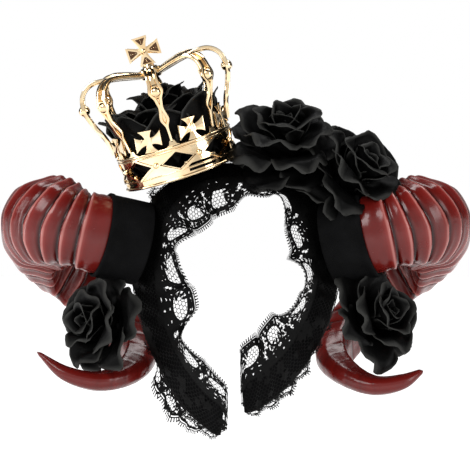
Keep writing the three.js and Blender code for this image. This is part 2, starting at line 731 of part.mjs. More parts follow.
const { columns, rows } = FRONT_LACE;
const frontLace = sheet(columns, rows, frontLacePoint, CLOTH, { open: laceOpen(columns, rows) });
addMesh(headpiece, "lace_front", solidOf(frontLace), BLACK_LACE);

for (const strip of REAR_LACE) {
  const place = (u, v) => rearLacePoint(strip, u, v);
  const open = laceOpen(strip.columns, REAR_LACE_ROWS);
  const ruffle = sheet(strip.columns, REAR_LACE_ROWS, place, CLOTH, { open });
  addMesh(headpiece, strip.name, solidOf(ruffle), BLACK_LACE);
}

const crown = new THREE.Group();
crown.position.set(CROWN_PLACE.x, CROWN_PLACE.y, CROWN_PLACE.z);
crown.rotation.set(rad(CROWN_PLACE.tipDeg), rad(CROWN_PLACE.leanDeg), 0, "YXZ");
headpiece.add(crown);
addMesh(crown, "crown_circlet", circletSolid(), PALE_GOLD);
addMesh(crown, "crown_arches", archesSolid(), PALE_GOLD);
addMesh(crown, "crown_cross", topCrossSolid(), PALE_GOLD);

clearOf(addMesh(crown, "crown_rose", crownRoseSolid(), BLACK_SATIN), [bandRoom]);

for (const row of ROSES) {
  const rose = addMesh(headpiece, row.name, roseSolid(row.size, row.spin), BLACK_SATIN);
  rose.position.set(row.x, row.y, row.z);
  const axis = new THREE.Vector3(row.ax, row.ay, row.az).normalize();
  rose.quaternion.setFromUnitVectors(new THREE.Vector3(0, 0, 1), axis);
  clearOf(rose, rooms);
}

export default headpiece;
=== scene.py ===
"""Ram horns headband: the looks of a lace-trimmed band with ribbed horns, a small crown and fabric roses."""
import math
import random

import bmesh
import bpy
from mathutils import Matrix, Vector
from mathutils.bvhtree import BVHTree


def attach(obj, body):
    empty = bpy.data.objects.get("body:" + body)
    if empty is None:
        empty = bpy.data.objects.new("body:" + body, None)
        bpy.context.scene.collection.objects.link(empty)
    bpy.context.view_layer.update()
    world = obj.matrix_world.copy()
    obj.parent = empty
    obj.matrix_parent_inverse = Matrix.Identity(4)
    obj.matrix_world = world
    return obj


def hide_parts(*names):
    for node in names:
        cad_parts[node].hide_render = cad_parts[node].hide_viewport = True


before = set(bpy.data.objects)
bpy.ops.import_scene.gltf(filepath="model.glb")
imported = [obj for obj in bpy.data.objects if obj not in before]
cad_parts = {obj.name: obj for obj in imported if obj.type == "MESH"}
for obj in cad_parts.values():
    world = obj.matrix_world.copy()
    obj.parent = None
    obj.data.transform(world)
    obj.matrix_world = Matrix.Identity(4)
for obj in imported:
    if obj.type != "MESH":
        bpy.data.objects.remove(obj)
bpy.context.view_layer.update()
MM = 0.001
UP = Vector((0, 0, 1))

# Camera: straight on, at the height that puts the origin where the photograph has it
CAMERA_AT = (-0.00072, -1.5, -0.04392)
CAMERA_LENS = 159.57

# Headband, as the frame has it (millimetres, degrees round the head opening)
BAND = dict(thick=3.0, half_wide=65.0, top=1.8, widest=-75.0)
BAND_BOTTOM = dict(left=-181.0, right=-162.0)
BAND_FLARE = dict(side=18.0, top=12.0, bottom=25.0)
BAND_SQUARENESS = dict(upper=2.4, lower=1.6)
BAND_DEPTH = dict(upper=21.0, ends=13.0)
BAND_ENDS = (257.0, -82.0)

# Lace: how far the free edge reaches, by the angle round the head opening
FRONT_REACH = [(262, 5), (256, 18), (238, 20), (218, 10), (205, 28), (187, 28), (170, 17), (157, 15),
               (141, 27), (116, 30), (95, 25), (78, 13), (56, 6), (42, 19), (24, 19), (14, 24), (1, 9),
               (-20, 12), (-42, 26), (-64, 29), (-78, 28), (-82, 14)]
REAR_OUT = [(256, 3), (246, 8), (234, 15), (224, 15), (215, 3), (202, 3), (142, 6), (134, 4), (122, -2),
            (60, -2), (38, 2), (-22, 3), (-36, 3), (-47, 6), (-60, 7), (-80, 4)]
REAR_BACK = [(256, 4), (246, 5), (234, 5), (224, 5), (215, 7), (202, 7), (142, 7), (134, 9), (122, 14),
             (60, 14), (38, 12), (-22, 7), (-36, 7), (-47, 6), (-60, 5), (-80, 4)]
# The net's cells and strands, and how far from the lace's edge and ends the net and its cords keep
LACE_CELL = 2.7
LACE_STRAND = 0.54
LACE_MARGIN = 3.4
LACE_END = 3.0
# The corded border: two lines with a gap between them, and the loops that stand out of the outer one
BORDER = dict(gap=1.75, inner=0.55, outer=0.36, end=0.8, lift=0.06)
LOOP = dict(half=0.4, long=2.7, every=1.7)
# Front lace: lies on the band as far as its seam, then hangs free
FRONT_LACE_WIDE = 55.0
BAND_SEAM_WIDE = 28.0
FRONT_SEAM = BAND_SEAM_WIDE / FRONT_LACE_WIDE
FRONT_SCALLOPS = 14
FRONT_SCALLOP_DEEP = 6
FRONT_RUFFLE = dict(lift=2.0, pucker=0.9, reach=24, least=11, wave=2.8, ripple=0.8, ripples=43, sway=2.6)
LACE_OVERHANG = dict(left=5.0, right=3.0, taper=0.65, along=0.026)
# Rear lace: name, first and last angle, width and number of scallops
REAR_LACE = [("lace_rear_left", (256, 202), 13, 5), ("lace_rear_top", (142, 38), 15, 7),
             ("lace_rear_right", (-22, -81), 10.5, 6)]
REAR_SCALLOP_DEEP = 3.5
REAR_RUFFLE = dict(tuck=0.8, wave=2.2, ripple=0.8, out=1.15, back=1.1)

# Horns: sections along the coil (place, half the height, half the width), then the outline of a section
HORN_ROWS = [(-79, 0, -48, 27.5, 25), (-108, -9, -41, 29, 24), (-136, -1, -36, 34, 22),
             (-151, 28, -39, 34, 21.5), (-138, 66, -61, 29, 19.5), (-106, 80, -89, 22, 17),
             (-81, 62, -115, 17, 14.5), (-70, 31, -134, 12.5, 11.5), (-79, 4, -145, 9, 9.5),
             (-98, -11, -149, 7.2, 7.5), (-122, -14, -143, 5.4, 4.8), (-143, -7, -127.5, 0.9, 0.9)]
HORN_RIGHT_END = [(-98, -11, -152, 7.2, 7.5), (-119, -14, -149, 5.6, 5), (-134, -9, -141, 1.6, 1.6)]
HORN_OUTLINE = [(1.0, 0.25), (0.78, 1.0), (0.2, 0.97), (-0.5, 0.8), (-0.97, 0.3), (-0.92, -0.35),
                (-0.4, -0.8), (0.25, -0.9), (0.93, -0.96), (1.0, -0.4)]
HORN_RIBS = 24
HORN_PLUG = 0.066
HORN_RIBBED_TO = 0.86
HORN_KEEL_FROM = 0.15
# Where the ribs fade out, the horn's painted shade ramp stays at this level, between the dark grooves and the
# painted crest highlight
HORN_PLAIN_SHADE_LEVEL = 0.7
HORN_ROUNDED_FROM = 0.985
HORN_CROWDING = 0.97
HORN_RIB = dict(depth=0.12, fade=0.5, spread=1.05, lean=1.1)

# Sleeve
SLEEVE = dict(wall=1.5, loose=1.3, inward=12.0, outward=20.0, end_gap=1.2, hem=0.5)

# Crown, in its own frame
CROWN_PLACE = dict(x=-38.0, y=0.0, z=0.7, lean=-18.0, tip=7.0)
CIRCLET = dict(inner=39.5, outer=41.5, height=24.0)
DIAMOND = dict(wide=27.0, tall=14.0, height=13.4, frame=1.2, raised=0.9)
SLOT = dict(half=10.6, tall=2.0, low=4.2, high=7.6)
RIM_CROSS = dict(wide=22.0, tall=17.0, thick=2.0, waist=2.2, flare=6.2, bow=1.8, seam=0.22)
RIM_BEAD = dict(radius=2.2, height=14.0)
RIM_PEAK = dict(half=6.5, tall=4.6, tip=1.7, thick=1.8)
# Mouldings round the circlet: distance from its top or bottom edge, thickness, height
TOP_MOULDINGS = ((0.9, 1.2, 1.8), (2.9, 0.9, 1.5))
LOW_MOULDINGS = ((1.1, 1.3, 2.1), (5.9, 0.55, 1.1))
ARCHES = 8
ARCH_ROWS = [(42.5, 28, 1.3), (45.5, 41, 3.4), (50, 51, 4.4), (53.5, 64, 5.0), (51, 75, 3.8), (43, 80.5, 2.6),
             (26, 79, 1.6), (8, 75, 1.4)]
# Half the distance between an arch's rails on its way up: a thin foot, a spear point, a narrow blade, and
# a wide seat for the bead
ARCH_HALF = [(0, 0.2), (0.1, 0.2), (0.19, 2.3), (0.31, 0.8), (0.36, 1.6), (0.43, 4.3), (0.51, 2.9),
             (0.75, 2.3), (1.0, 1.3)]
ARCH_RAIL = dict(thin=0.8, thick=1.25, deep=1.8, squareness=0.5)
ARCH_WEB = dict(thick=0.35, sunk=0.2, squareness=0.4)
ARCH_BEAD = dict(row=3, radius=4.1, seat_back=5.2, seat_front=4.4, seat_deep=1.4, seat_out=0.4)
# Steps of the hub: bottom, top, and the radius at each
HUB_TOP = 80.0
HUB_STEPS = ((72.0, 75.0, 7.0, 10.0), (75.0, 77.6, 10.0, 10.0), (77.6, 78.8, 8.2, 8.2),
             (78.8, 80.0, 6.4, 5.8))
TOP_CROSS = dict(wide=24.2, tall=21.0, thick=3.0, waist=2.4, flare=5.9, bow=1.25)
# A top-cross arm's frame: its start from the middle, and what it leaves free at the arm's end and sides
CROSS_FRAME = dict(outer=(2.4, 0.1, 0.5), inner=(4.6, 1.5, 2.4), root=0.7, raised=0.55, panel=0.12)
CROSS_DOTS = dict(count=3, start=6.0, short=2.6, radius=0.42)

# Roses: place, size, the way each one faces, and its turn
ROSES = [("rose_top_inner", (35, 3, 13), 40, (0.0, -0.5, 0.86), 100),
         ("rose_top_outer", (77, 2, -7), 39.5, (0.6, -0.55, 0.58), 20),
         ("rose_left", (-87, 2, -109), 36.5, (-0.78, -0.6, 0.16), 35),
         ("rose_right", (92, 2, -107), 36, (0.68, -0.62, 0.38), 5)]
# A ring of petals: count, root radius, rise of the base, length, width, opening at base and tip, edge roll
PETAL_RINGS = [(3, 0.07, 0.28, 0.60, 0.42, 0, 6, 0.04),
               (3, 0.12, 0.22, 0.80, 0.82, 2, 16, 0.09),
               (4, 0.18, 0.15, 0.92, 0.98, 10, 36, 0.14),
               (4, 0.24, 0.07, 0.98, 1.12, 24, 62, 0.19),
               (5, 0.28, 0.02, 0.98, 1.10, 46, 98, 0.20)]
DROOPING_RING = (5, 0.30, -0.04, 0.80, 0.98, 85, 138, 0.12)
CROWN_ROSE = dict(size=37, heart=28)
CROWN_ROSE_RINGS = [(9, 0.88, 0.10, 0.98, 0.80, -2, 3, 0.02),
                    (9, 0.88, 0.42, 1.06, 0.92, 6, 30, 0.08),
                    (8, 0.60, 0.52, 1.12, 0.92, 8, 24, 0.10)]
# Cells along and across a petal, and the share of its rectangle that is cloth
PETAL_STEPS = 16
PETAL_CUT_SHARE = 0.80
CLOTH_THICK = 0.4


def rad(degrees):
    return math.radians(degrees)


def lerp(a, b, t):
    return a + (b - a) * t


def smooth(t, low=0.0, high=1.0):
    t = min(max((t - low) / (high - low), 0.0), 1.0)
    return t * t * (3 - 2 * t)


def squared(value, power):
    """A sine or cosine pushed outwards, so that a round section gets squarer."""
    return math.copysign(abs(value) ** power, value)


def between(table, turn):
    """The value that a table of (angle, value), angles falling, gives at an angle."""
    for (a, va), (b, vb) in zip(table, table[1:]):
        if turn >= b or (b, vb) == table[-1]:
            return lerp(va, vb, smooth(min(max((turn - a) / (b - a), 0.0), 1.0)))
    return table[-1][1]


class Curve:
    """A smooth curve through rows of numbers, spaced by the root of their distance."""

    def __init__(self, rows):
        self.rows = [Vector(row) for row in rows]

    def at(self, t):
        rows = self.rows
        last = len(rows) - 1
        place = min(max(t, 0.0), 1.0) * last
        i = min(int(place), last - 1)
        w = place - i
        p1, p2 = rows[i], rows[i + 1]
        p0 = rows[i - 1] if i > 0 else p1 * 2 - p2
        p3 = rows[i + 2] if i + 2 <= last else p2 * 2 - p1
        d1 = max((p2 - p1).length ** 0.5, 1e-4)
        d0 = (p1 - p0).length ** 0.5 or d1
        d2 = (p3 - p2).length ** 0.5 or d1
        t1 = ((p1 - p0) / d0 - (p2 - p0) / (d0 + d1) + (p2 - p1) / d1) * d1
        t2 = ((p2 - p1) / d1 - (p3 - p1) / (d1 + d2) + (p3 - p2) / d2) * d1
        return p1 + t1 * w + (p2 * 3 - p1 * 3 - t1 * 2 - t2) * w ** 2 + (p1 * 2 - p2 * 2 + t1 + t2) * w ** 3

    def along(self, t, step=1e-3):
        return (self.at(min(t + step, 1)) - self.at(max(t - step, 0))).normalized()


# Materials
def material(name, colour, roughness, metallic=0.0):
    mat = bpy.data.materials.new(name)
    mat.use_nodes = True
    nodes, links = mat.node_tree.nodes, mat.node_tree.links
    shader = nodes["Principled BSDF"]
    shader.inputs["Base Color"].default_value = (*colour, 1)
    shader.inputs["Roughness"].default_value = roughness
    shader.inputs["Metallic"].default_value = metallic
    return mat, nodes, links, shader


def object_noise(nodes, links, scale, detail=3.0, stretch=(1, 1, 1), uv=False):
    place = nodes.new("ShaderNodeTexCoord")
    mapping = nodes.new("ShaderNodeMapping")
    mapping.inputs["Scale"].default_value = stretch
    noise = nodes.new("ShaderNodeTexNoise")
    noise.inputs["Scale"].default_value = scale
    noise.inputs["Detail"].default_value = detail
    links.new(place.outputs["UV" if uv else "Object"], mapping.inputs["Vector"])
    links.new(mapping.outputs["Vector"], noise.inputs["Vector"])
    return noise.outputs["Fac"]


def ramp(nodes, links, value, stops):
    node = nodes.new("ShaderNodeValToRGB")
    while len(node.color_ramp.elements) < len(stops):
        node.color_ramp.elements.new(0.5)
    for element, (at, colour) in zip(node.color_ramp.elements, stops):
        element.position = at
        element.color = (*colour, 1) if len(colour) == 3 else colour
    links.new(value, node.inputs["Fac"])
    return node.outputs["Color"]


def grey(value):
    return (value, value, value)


def bump(nodes, links, shader, value, strength, distance):
    node = nodes.new("ShaderNodeBump")
    node.inputs["Strength"].default_value = strength
    node.inputs["Distance"].default_value = distance
    links.new(value, node.inputs["Height"])
    if shader.inputs["Normal"].links:
        links.new(shader.inputs["Normal"].links[0].from_socket, node.inputs["Normal"])
    links.new(node.outputs["Normal"], shader.inputs["Normal"])


def weave(nodes, links, threads):
    """Crossing threads, so many to a metre, on the piece's own UV map, which is in metres."""
    place = nodes.new("ShaderNodeTexCoord")
    waves = []
    for direction in ("X", "Y"):
        wave = nodes.new("ShaderNodeTexWave")
        wave.bands_direction = direction
        wave.inputs["Scale"].default_value = threads / 20 * math.pi
        wave.inputs["Distortion"].default_value = 0.6
        wave.inputs["Detail"].default_value = 1.0
        links.new(place.outputs["UV"], wave.inputs["Vector"])
        waves.append(wave.outputs["Fac"])
    mix = nodes.new("ShaderNodeMath")
    mix.operation = "MULTIPLY"
    links.new(waves[0], mix.inputs[0])
    links.new(waves[1], mix.inputs[1])
    return mix.outputs[0]


def horn_vinyl():
    mat, nodes, links, shader = material("horn_vinyl", (0.16, 0.014, 0.012), 0.24)
    # Painted shade and highlight: the rib attribute darkens the horn in the grooves between the ribs, and the
    # last ramp stop paints a pale highlight line along each crest
    rib = nodes.new("ShaderNodeAttribute")
    rib.attribute_name = "rib"
    tone = ramp(nodes, links, rib.outputs["Fac"],
                [(0.0, (0.010, 0.0008, 0.0008)), (0.4, (0.075, 0.004, 0.003)), (0.85, (0.14, 0.008, 0.006)),
                 (0.96, (0.19, 0.02, 0.016)), (1.0, (0.38, 0.13, 0.115))])
    cloud = ramp(nodes, links, object_noise(nodes, links, 38, 3), [(0.3, grey(0.75)), (0.7, grey(1.0))])
    mix = nodes.new("ShaderNodeMix")
    mix.data_type = "RGBA"
    mix.blend_type = "MULTIPLY"
    mix.inputs["Factor"].default_value = 1.0
    links.new(tone, mix.inputs["A"])
    links.new(cloud, mix.inputs["B"])
    links.new(mix.outputs["Result"], shader.inputs["Base Color"])
    rough = ramp(nodes, links, object_noise(nodes, links, 90, 4), [(0.3, grey(0.16)), (0.75, grey(0.3))])
    links.new(rough, shader.inputs["Roughness"])
    shader.inputs["Specular IOR Level"].default_value = 0.34
    bump(nodes, links, shader, object_noise(nodes, links, 260, 4), 0.25, 0.0006)
    bump(nodes, links, shader, object_noise(nodes, links, 45, 2), 0.35, 0.0015)
    return mat


def crown_gold():
    mat, nodes, links, shader = material("crown_gold", (0.84, 0.66, 0.42), 0.14, 1.0)
    tone = ramp(nodes, links, object_noise(nodes, links, 60, 3),
                [(0.3, (0.72, 0.51, 0.28)), (0.65, (0.88, 0.72, 0.48))])
    links.new(tone, shader.inputs["Base Color"])
    rough = ramp(nodes, links, object_noise(nodes, links, 180, 3), [(0.3, grey(0.05)), (0.75, grey(0.15))])
    links.new(rough, shader.inputs["Roughness"])
    bump(nodes, links, shader, object_noise(nodes, links, 120, 2), 0.18, 0.0009)
    return mat


def petal_cloth():
    mat, nodes, links, shader = material("petal_satin", (0.004, 0.004, 0.004), 0.6)
    fold = ramp(nodes, links, object_noise(nodes, links, 70, 4), [(0.3, grey(0.0008)), (0.75, grey(0.003))])
    # Painted highlight: the rim attribute gives the petals' rolled edges a paler base colour that stands in
    # for the satin's sheen there
    rim = nodes.new("ShaderNodeAttribute")
    rim.attribute_name = "rim"
    mix = nodes.new("ShaderNodeMix")
    mix.data_type = "RGBA"
    links.new(rim.outputs["Fac"], mix.inputs["Factor"])
    links.new(fold, mix.inputs["A"])
    mix.inputs["B"].default_value = (0.034, 0.034, 0.032, 1)
    shader.inputs["Specular IOR Level"].default_value = 0.06
    links.new(mix.outputs["Result"], shader.inputs["Base Color"])
    rough = ramp(nodes, links, object_noise(nodes, links, 130, 3), [(0.3, grey(0.42)), (0.75, grey(0.66))])
    links.new(rough, shader.inputs["Roughness"])
    bump(nodes, links, shader, weave(nodes, links, 2600), 0.25, 0.00012)
    bump(nodes, links, shader, object_noise(nodes, links, 150, 3), 0.3, 0.0008)
    return mat


def band_cloth(name, colour, threads):
    mat, nodes, links, shader = material(name, colour, 0.85)
    low = tuple(c * 0.6 for c in colour)
    high = tuple(c * 1.7 for c in colour)
    tone = ramp(nodes, links, object_noise(nodes, links, 55, 4), [(0.3, low), (0.75, high)])
    links.new(tone, shader.inputs["Base Color"])
    shader.inputs["Specular IOR Level"].default_value = 0.06
    bump(nodes, links, shader, weave(nodes, links, threads), 0.5, 0.00025)
    bump(nodes, links, shader, object_noise(nodes, links, 90, 3), 0.3, 0.001)
    return mat


def lace_thread():
    mat, nodes, links, shader = material("lace_thread", (0.002, 0.002, 0.002), 0.6)
    shader.inputs["Specular IOR Level"].default_value = 0.1
    place = nodes.new("ShaderNodeTexCoord")
    wave = nodes.new("ShaderNodeTexWave")
    wave.bands_direction = "DIAGONAL"
    wave.inputs["Scale"].default_value = 420
    wave.inputs["Distortion"].default_value = 1.5
    links.new(place.outputs["UV"], wave.inputs["Vector"])
    tone = ramp(nodes, links, wave.outputs["Fac"], [(0.2, grey(0.0007)), (0.8, grey(0.003))])
    links.new(tone, shader.inputs["Base Color"])
    bump(nodes, links, shader, wave.outputs["Fac"], 0.6, 0.0002)
    return mat


HORN_VINYL = horn_vinyl()
CROWN_GOLD = crown_gold()
CROWN_RECESS = material("crown_recess", (0.075, 0.032, 0.012), 0.35, 0.6)[0]
PETAL_CLOTH = petal_cloth()
BAND_CLOTH = band_cloth("band_cloth", (0.0018, 0.0018, 0.002), 1500)
SLEEVE_CLOTH = band_cloth("sleeve_cloth", (0.0028, 0.0028, 0.003), 1300)
LACE_THREAD = lace_thread()


# Pieces
def piece(name, bm, mat, nodes=(), crisp=None):
    """Turns a bmesh in millimetres into an object of the scene that rides on the part's one body."""
    bmesh.ops.scale(bm, vec=(MM, MM, MM), verts=bm.verts)
    mesh = bpy.data.meshes.new(name)
    bm.to_mesh(mesh)
    bm.free()
    for each in mat if isinstance(mat, tuple) else (mat,):
        mesh.materials.append(each)
    mesh.polygons.foreach_set("use_smooth", [True] * len(mesh.polygons))
    if crisp:
        mesh.set_sharp_from_angle(angle=rad(crisp))
    obj = bpy.data.objects.new(name, mesh)
    bpy.context.scene.collection.objects.link(obj)
    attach(obj, "root")
    if nodes:
        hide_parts(*nodes)
    return obj


def bent_grid(bm, columns, rows, place, size=None, extra=None):
    """Lays a grid of cells over the surface place(u, v).

    size is its flat size in millimetres, for its weave, and extra an attribute's layer with its values.
    """
    made = bmesh.ops.create_grid(bm, x_segments=columns, y_segments=rows, size=0.5)["verts"]
    if size:
        layer = bm.loops.layers.uv.verify()
        for face in {f for v in made for f in v.link_faces}:
            for loop in face.loops:
                u, v = loop.vert.co.x + 0.5, loop.vert.co.y + 0.5
                loop[layer].uv = (u * size[0] * MM, v * size[1] * MM)
    for vert in made:
        u, v = vert.co.x + 0.5, vert.co.y + 0.5
        if extra:
            vert[extra[0]] = extra[1](u, v)
        vert.co = place(u, v)


def close_up(bm, distance=0.01):
    bmesh.ops.remove_doubles(bm, verts=bm.verts, dist=distance)
    bmesh.ops.recalc_face_normals(bm, faces=bm.faces)


# Headband
def band_point(turn, across):
    half = across / 2
    c, s = math.cos(rad(turn)), math.sin(rad(turn))
    upper = s > 0
    top = BAND["top"] + half * BAND_FLARE["top"] - BAND["widest"]
    low = BAND_BOTTOM["left"] if c < 0 else BAND_BOTTOM["right"]
    bottom = BAND["widest"] - low + half * BAND_FLARE["bottom"]
    wide = BAND["half_wide"] + half * BAND_FLARE["side"]
    power = 2 / BAND_SQUARENESS["upper" if upper else "lower"]
    x = wide * squared(c, power)
    z = BAND["widest"] + (top if upper else -bottom) * abs(s) ** power
    depth = lerp(BAND_DEPTH["upper"], BAND_DEPTH["ends"], 0 if upper else abs(s) ** 3)
    return Vector((x, half * depth, z))


def band_normal(turn):
    along = band_point(turn - 0.5, 0) - band_point(turn + 0.5, 0)
    across = band_point(turn, 1) - band_point(turn, -1)
    normal = along.cross(across).normalized()
    out = band_point(turn, 0) - Vector((0, 0, BAND["widest"]))
    return -normal if normal.dot(out) < 0 else normal


def make_headband():
    bm = bmesh.new()
    half = BAND["thick"] / 2

    def place(u, v):
        turn = lerp(BAND_ENDS[0] + 0.3, BAND_ENDS[1] - 0.3, u)
        shut = min(smooth(u, 0, 0.006), smooth(1 - u, 0, 0.006))
        angle = v * 2 * math.pi
        across = squared(math.cos(angle), 0.35)
        height = squared(math.sin(angle), 0.6) * half
        return band_point(turn, across * lerp(0.9, 1, shut)) + band_normal(turn) * height * shut

    bent_grid(bm, 220, 28, place, size=(520, 60))
    close_up(bm)
    piece("headband_cloth", bm, BAND_CLOTH, ["headband"])


# Horns
def horn_frame(rows, t):
    path = Curve([row[:3] for row in rows])
    sizes = Curve([(row[3], row[4], 0) for row in rows])
    along = path.along(t)
    up = (UP - along * along.z).normalized()
    return path.at(t), along, up, along.cross(up).normalized(), sizes.at(t)


def horn_rib(phase):
    """Height of a rib, 0 in the groove and 1 on the crest: a long rise, then a sharp drop."""
    part = phase % 1.0
    return (0.6 * smooth(part, 0.0, 0.22) + 0.4 * smooth(part, 0.3, 0.8)) * (1 - smooth(part, 0.86, 1.0))


def make_horn(name, rows, mirror, node):
    bm = bmesh.new()
    # Painted shade and highlight of the ribs, kept on each corner for the horn's material
    rib_shade_layer = bm.verts.layers.float.new("rib")
    reach = HORN_RIBBED_TO - HORN_PLUG
    frames = {}

    def frame_at(u):
        if u not in frames:
            frames[u] = horn_frame(rows, u)
        return frames[u]

    def rib_at(u, up):
        """The rib's height at a spot, its painted shade (dark in the grooves, a painted highlight on the
        crests), and how bold the ribs still are there.
        """
        share = max((u - HORN_PLUG) / reach, 0) ** (1 / HORN_RIB["spread"])
        slant = max(up, 0) + 0.25 * min(up, 0)
        lean = HORN_RIB["lean"] * slant * smooth(u, HORN_PLUG, 0.2) * (1 - share * 0.7)
        first, last = smooth(share * HORN_RIBS, 0.1, 0.8), 1 - smooth(share, 0.9, 1.02)
        fade = first * last * (1 - 0.8 * smooth(share, 0.5, 0.74))
        rib = horn_rib(share * HORN_RIBS - 0.1 + lean)
        return 1 - (1 - rib) * fade, lerp(HORN_PLAIN_SHADE_LEVEL, rib, fade), 1 - share

    def outline(u, v):
        keel = smooth(u, HORN_PLUG, HORN_KEEL_FROM)
        out, up = outline_at(v)
        turn = math.atan2(up, out)
        return lerp(math.cos(turn), out, keel), lerp(math.sin(turn), up, keel)

    def place(u, v):
        u = u ** HORN_CROWDING
        point, _, up_way, out_way, size = frame_at(u)
        out, up = outline(u, v)
        high, _, bold = rib_at(u, up)
        scale = 1 - HORN_RIB["depth"] * (1 - high) * lerp(1 - HORN_RIB["fade"], 1, max(bold, 0))
        end = math.sqrt(max(1 - smooth(u, HORN_ROUNDED_FROM, 1.0) ** 2, 0)) * (1 if u > 0 else 0)
        at = point + out_way * out * size.y * scale * end + up_way * up * size.x * scale * end
        return Vector((-at.x, at.y, at.z)) if mirror else at

    def shade(u, v):
        u = u ** HORN_CROWDING
        return rib_at(u, outline(u, v)[1])[1]

    bent_grid(bm, 430, 60, place, extra=(rib_shade_layer, shade))
    close_up(bm)
    piece(name, bm, HORN_VINYL, [node])


def outline_at(v):
    """The horn's outline between its corners, round and closed."""
    count = len(HORN_OUTLINE)
    place = (v % 1.0) * count
    i = int(place) % count
    w = place - int(place)
    p0, p1, p2, p3 = (Vector(HORN_OUTLINE[(i + k) % count]) for k in (-1, 0, 1, 2))
    tension = 0.42
    m1, m2 = (p2 - p0) * tension, (p3 - p1) * tension
    at = (p1 * (2 * w ** 3 - 3 * w ** 2 + 1) + m1 * (w ** 3 - 2 * w ** 2 + w)
          + p2 * (3 * w ** 2 - 2 * w ** 3) + m2 * (w ** 3 - w ** 2))
    return at.x, at.y


# Sleeves
def make_sleeve(name, mirror, node, band_tree):
    bm = bmesh.new()
    point, along, up_way, out_way, size = horn_frame(HORN_ROWS, 0)
    chance = random.Random(11 if mirror else 7)
    folds = [(chance.uniform(0, 6.28), chance.randint(2, 7), chance.uniform(0.1, 0.35)) for _ in range(5)]

    def ring(distance, angle, grow):
        return (point + along * distance + out_way * math.cos(angle) * (size.y + grow)
                + up_way * math.sin(angle) * (size.x + grow))

    def start(angle):
        origin = ring(SLEEVE["outward"], angle, SLEEVE["loose"])
        hit = band_tree.ray_cast(origin * MM, -along, (SLEEVE["outward"] + SLEEVE["inward"]) * MM)
        if hit[0] is None:
            return -SLEEVE["inward"]
        return SLEEVE["outward"] - hit[3] / MM + 0.5

    starts = {}

    def place(u, v):
        angle = u * 2 * math.pi
        if u not in starts:
            starts[u] = start(angle)
        side = v * 2
        outer = side <= 1
        share = side if outer else 2 - side
        distance = lerp(starts[u], SLEEVE["outward"], share)
        hem = SLEEVE["hem"] * smooth(share, 0.86, 0.89) * (1 - smooth(share, 0.97, 1.0))
        crease = sum(math.sin(angle * n + f + share * 2.5) * a for f, n, a in folds)
        crease *= 1 - smooth(share, 0.8, 0.95)
        half = SLEEVE["wall"] / 2
        shut = smooth(min(share, 1 - share), 0, 0.02)
        grow = SLEEVE["loose"] + half + shut * (half + hem + max(crease, -0.6) if outer else -half)
        at = ring(distance, angle, grow)
        return Vector((-at.x, at.y, at.z)) if mirror else at

    bent_grid(bm, 120, 60, place, size=(165, 64))
    close_up(bm)
    obj = piece(name, bm, SLEEVE_CLOTH, [node])
    make_sleeve_end(name + "_end", mirror, node, ring, starts)


def make_sleeve_end(name, mirror, node, ring, starts):
    """The cloth that closes the sleeve behind the horn's root, seen from the back of the band."""
    bm = bmesh.new()
    middle = (ring(0, 0, SLEEVE["loose"]) + ring(0, math.pi, SLEEVE["loose"])) / 2
    wide = (ring(0, 0, SLEEVE["loose"]) - middle).length
    tall = (ring(0, math.pi / 2, SLEEVE["loose"]) - middle).length

    def place(u, v):
        share = 1 - v
        near = min(starts, key=lambda known: abs(known - u))
        distance = lerp(-SLEEVE["end_gap"], starts[near] + 1, smooth(share, 0.6, 1))
        rim = ring(distance, u * 2 * math.pi, SLEEVE["loose"])
        centre = (ring(distance, 0, SLEEVE["loose"]) + ring(distance, math.pi, SLEEVE["loose"])) / 2
        at = centre.lerp(rim, share)
        return Vector((-at.x, at.y, at.z)) if mirror else at

    bent_grid(bm, 96, 12, place, size=(2 * wide, 2 * tall))
    close_up(bm)
    obj = piece(name, bm, SLEEVE_CLOTH, [node])
    give_cloth_thickness(obj)


# Crown
def crown_matrix():
    lean = Matrix.Rotation(rad(CROWN_PLACE["lean"]), 4, "Y")
    tip = Matrix.Rotation(rad(CROWN_PLACE["tip"]), 4, "X")
    return Matrix.Translation((CROWN_PLACE["x"], CROWN_PLACE["y"], CROWN_PLACE["z"])) @ lean @ tip


CROWN = crown_matrix()


def copy_round(bm, count, offset=0.0):
    """Repeats the shape, which lies at the front, round the crown's axis."""
    source = bm.verts[:] + bm.edges[:] + bm.faces[:]
    for k in range(1, count):
        made = bmesh.ops.duplicate(bm, geom=source)["geom"]
        verts = [g for g in made if isinstance(g, bmesh.types.BMVert)]
        turn = Matrix.Rotation(2 * math.pi * k / count, 3, "Z")
        bmesh.ops.rotate(bm, cent=(0, 0, 0), matrix=turn, verts=verts)
    if offset:
        bmesh.ops.rotate(bm, cent=(0, 0, 0), matrix=Matrix.Rotation(rad(offset), 3, "Z"), verts=bm.verts)


def score(bm, at, normal):
    """Cuts an edge into the flat wall along a line, and leaves both sides."""
    everything = bm.verts[:] + bm.edges[:] + bm.faces[:]
    bmesh.ops.bisect_plane(bm, geom=everything, plane_co=at, plane_no=normal, dist=1e-4)


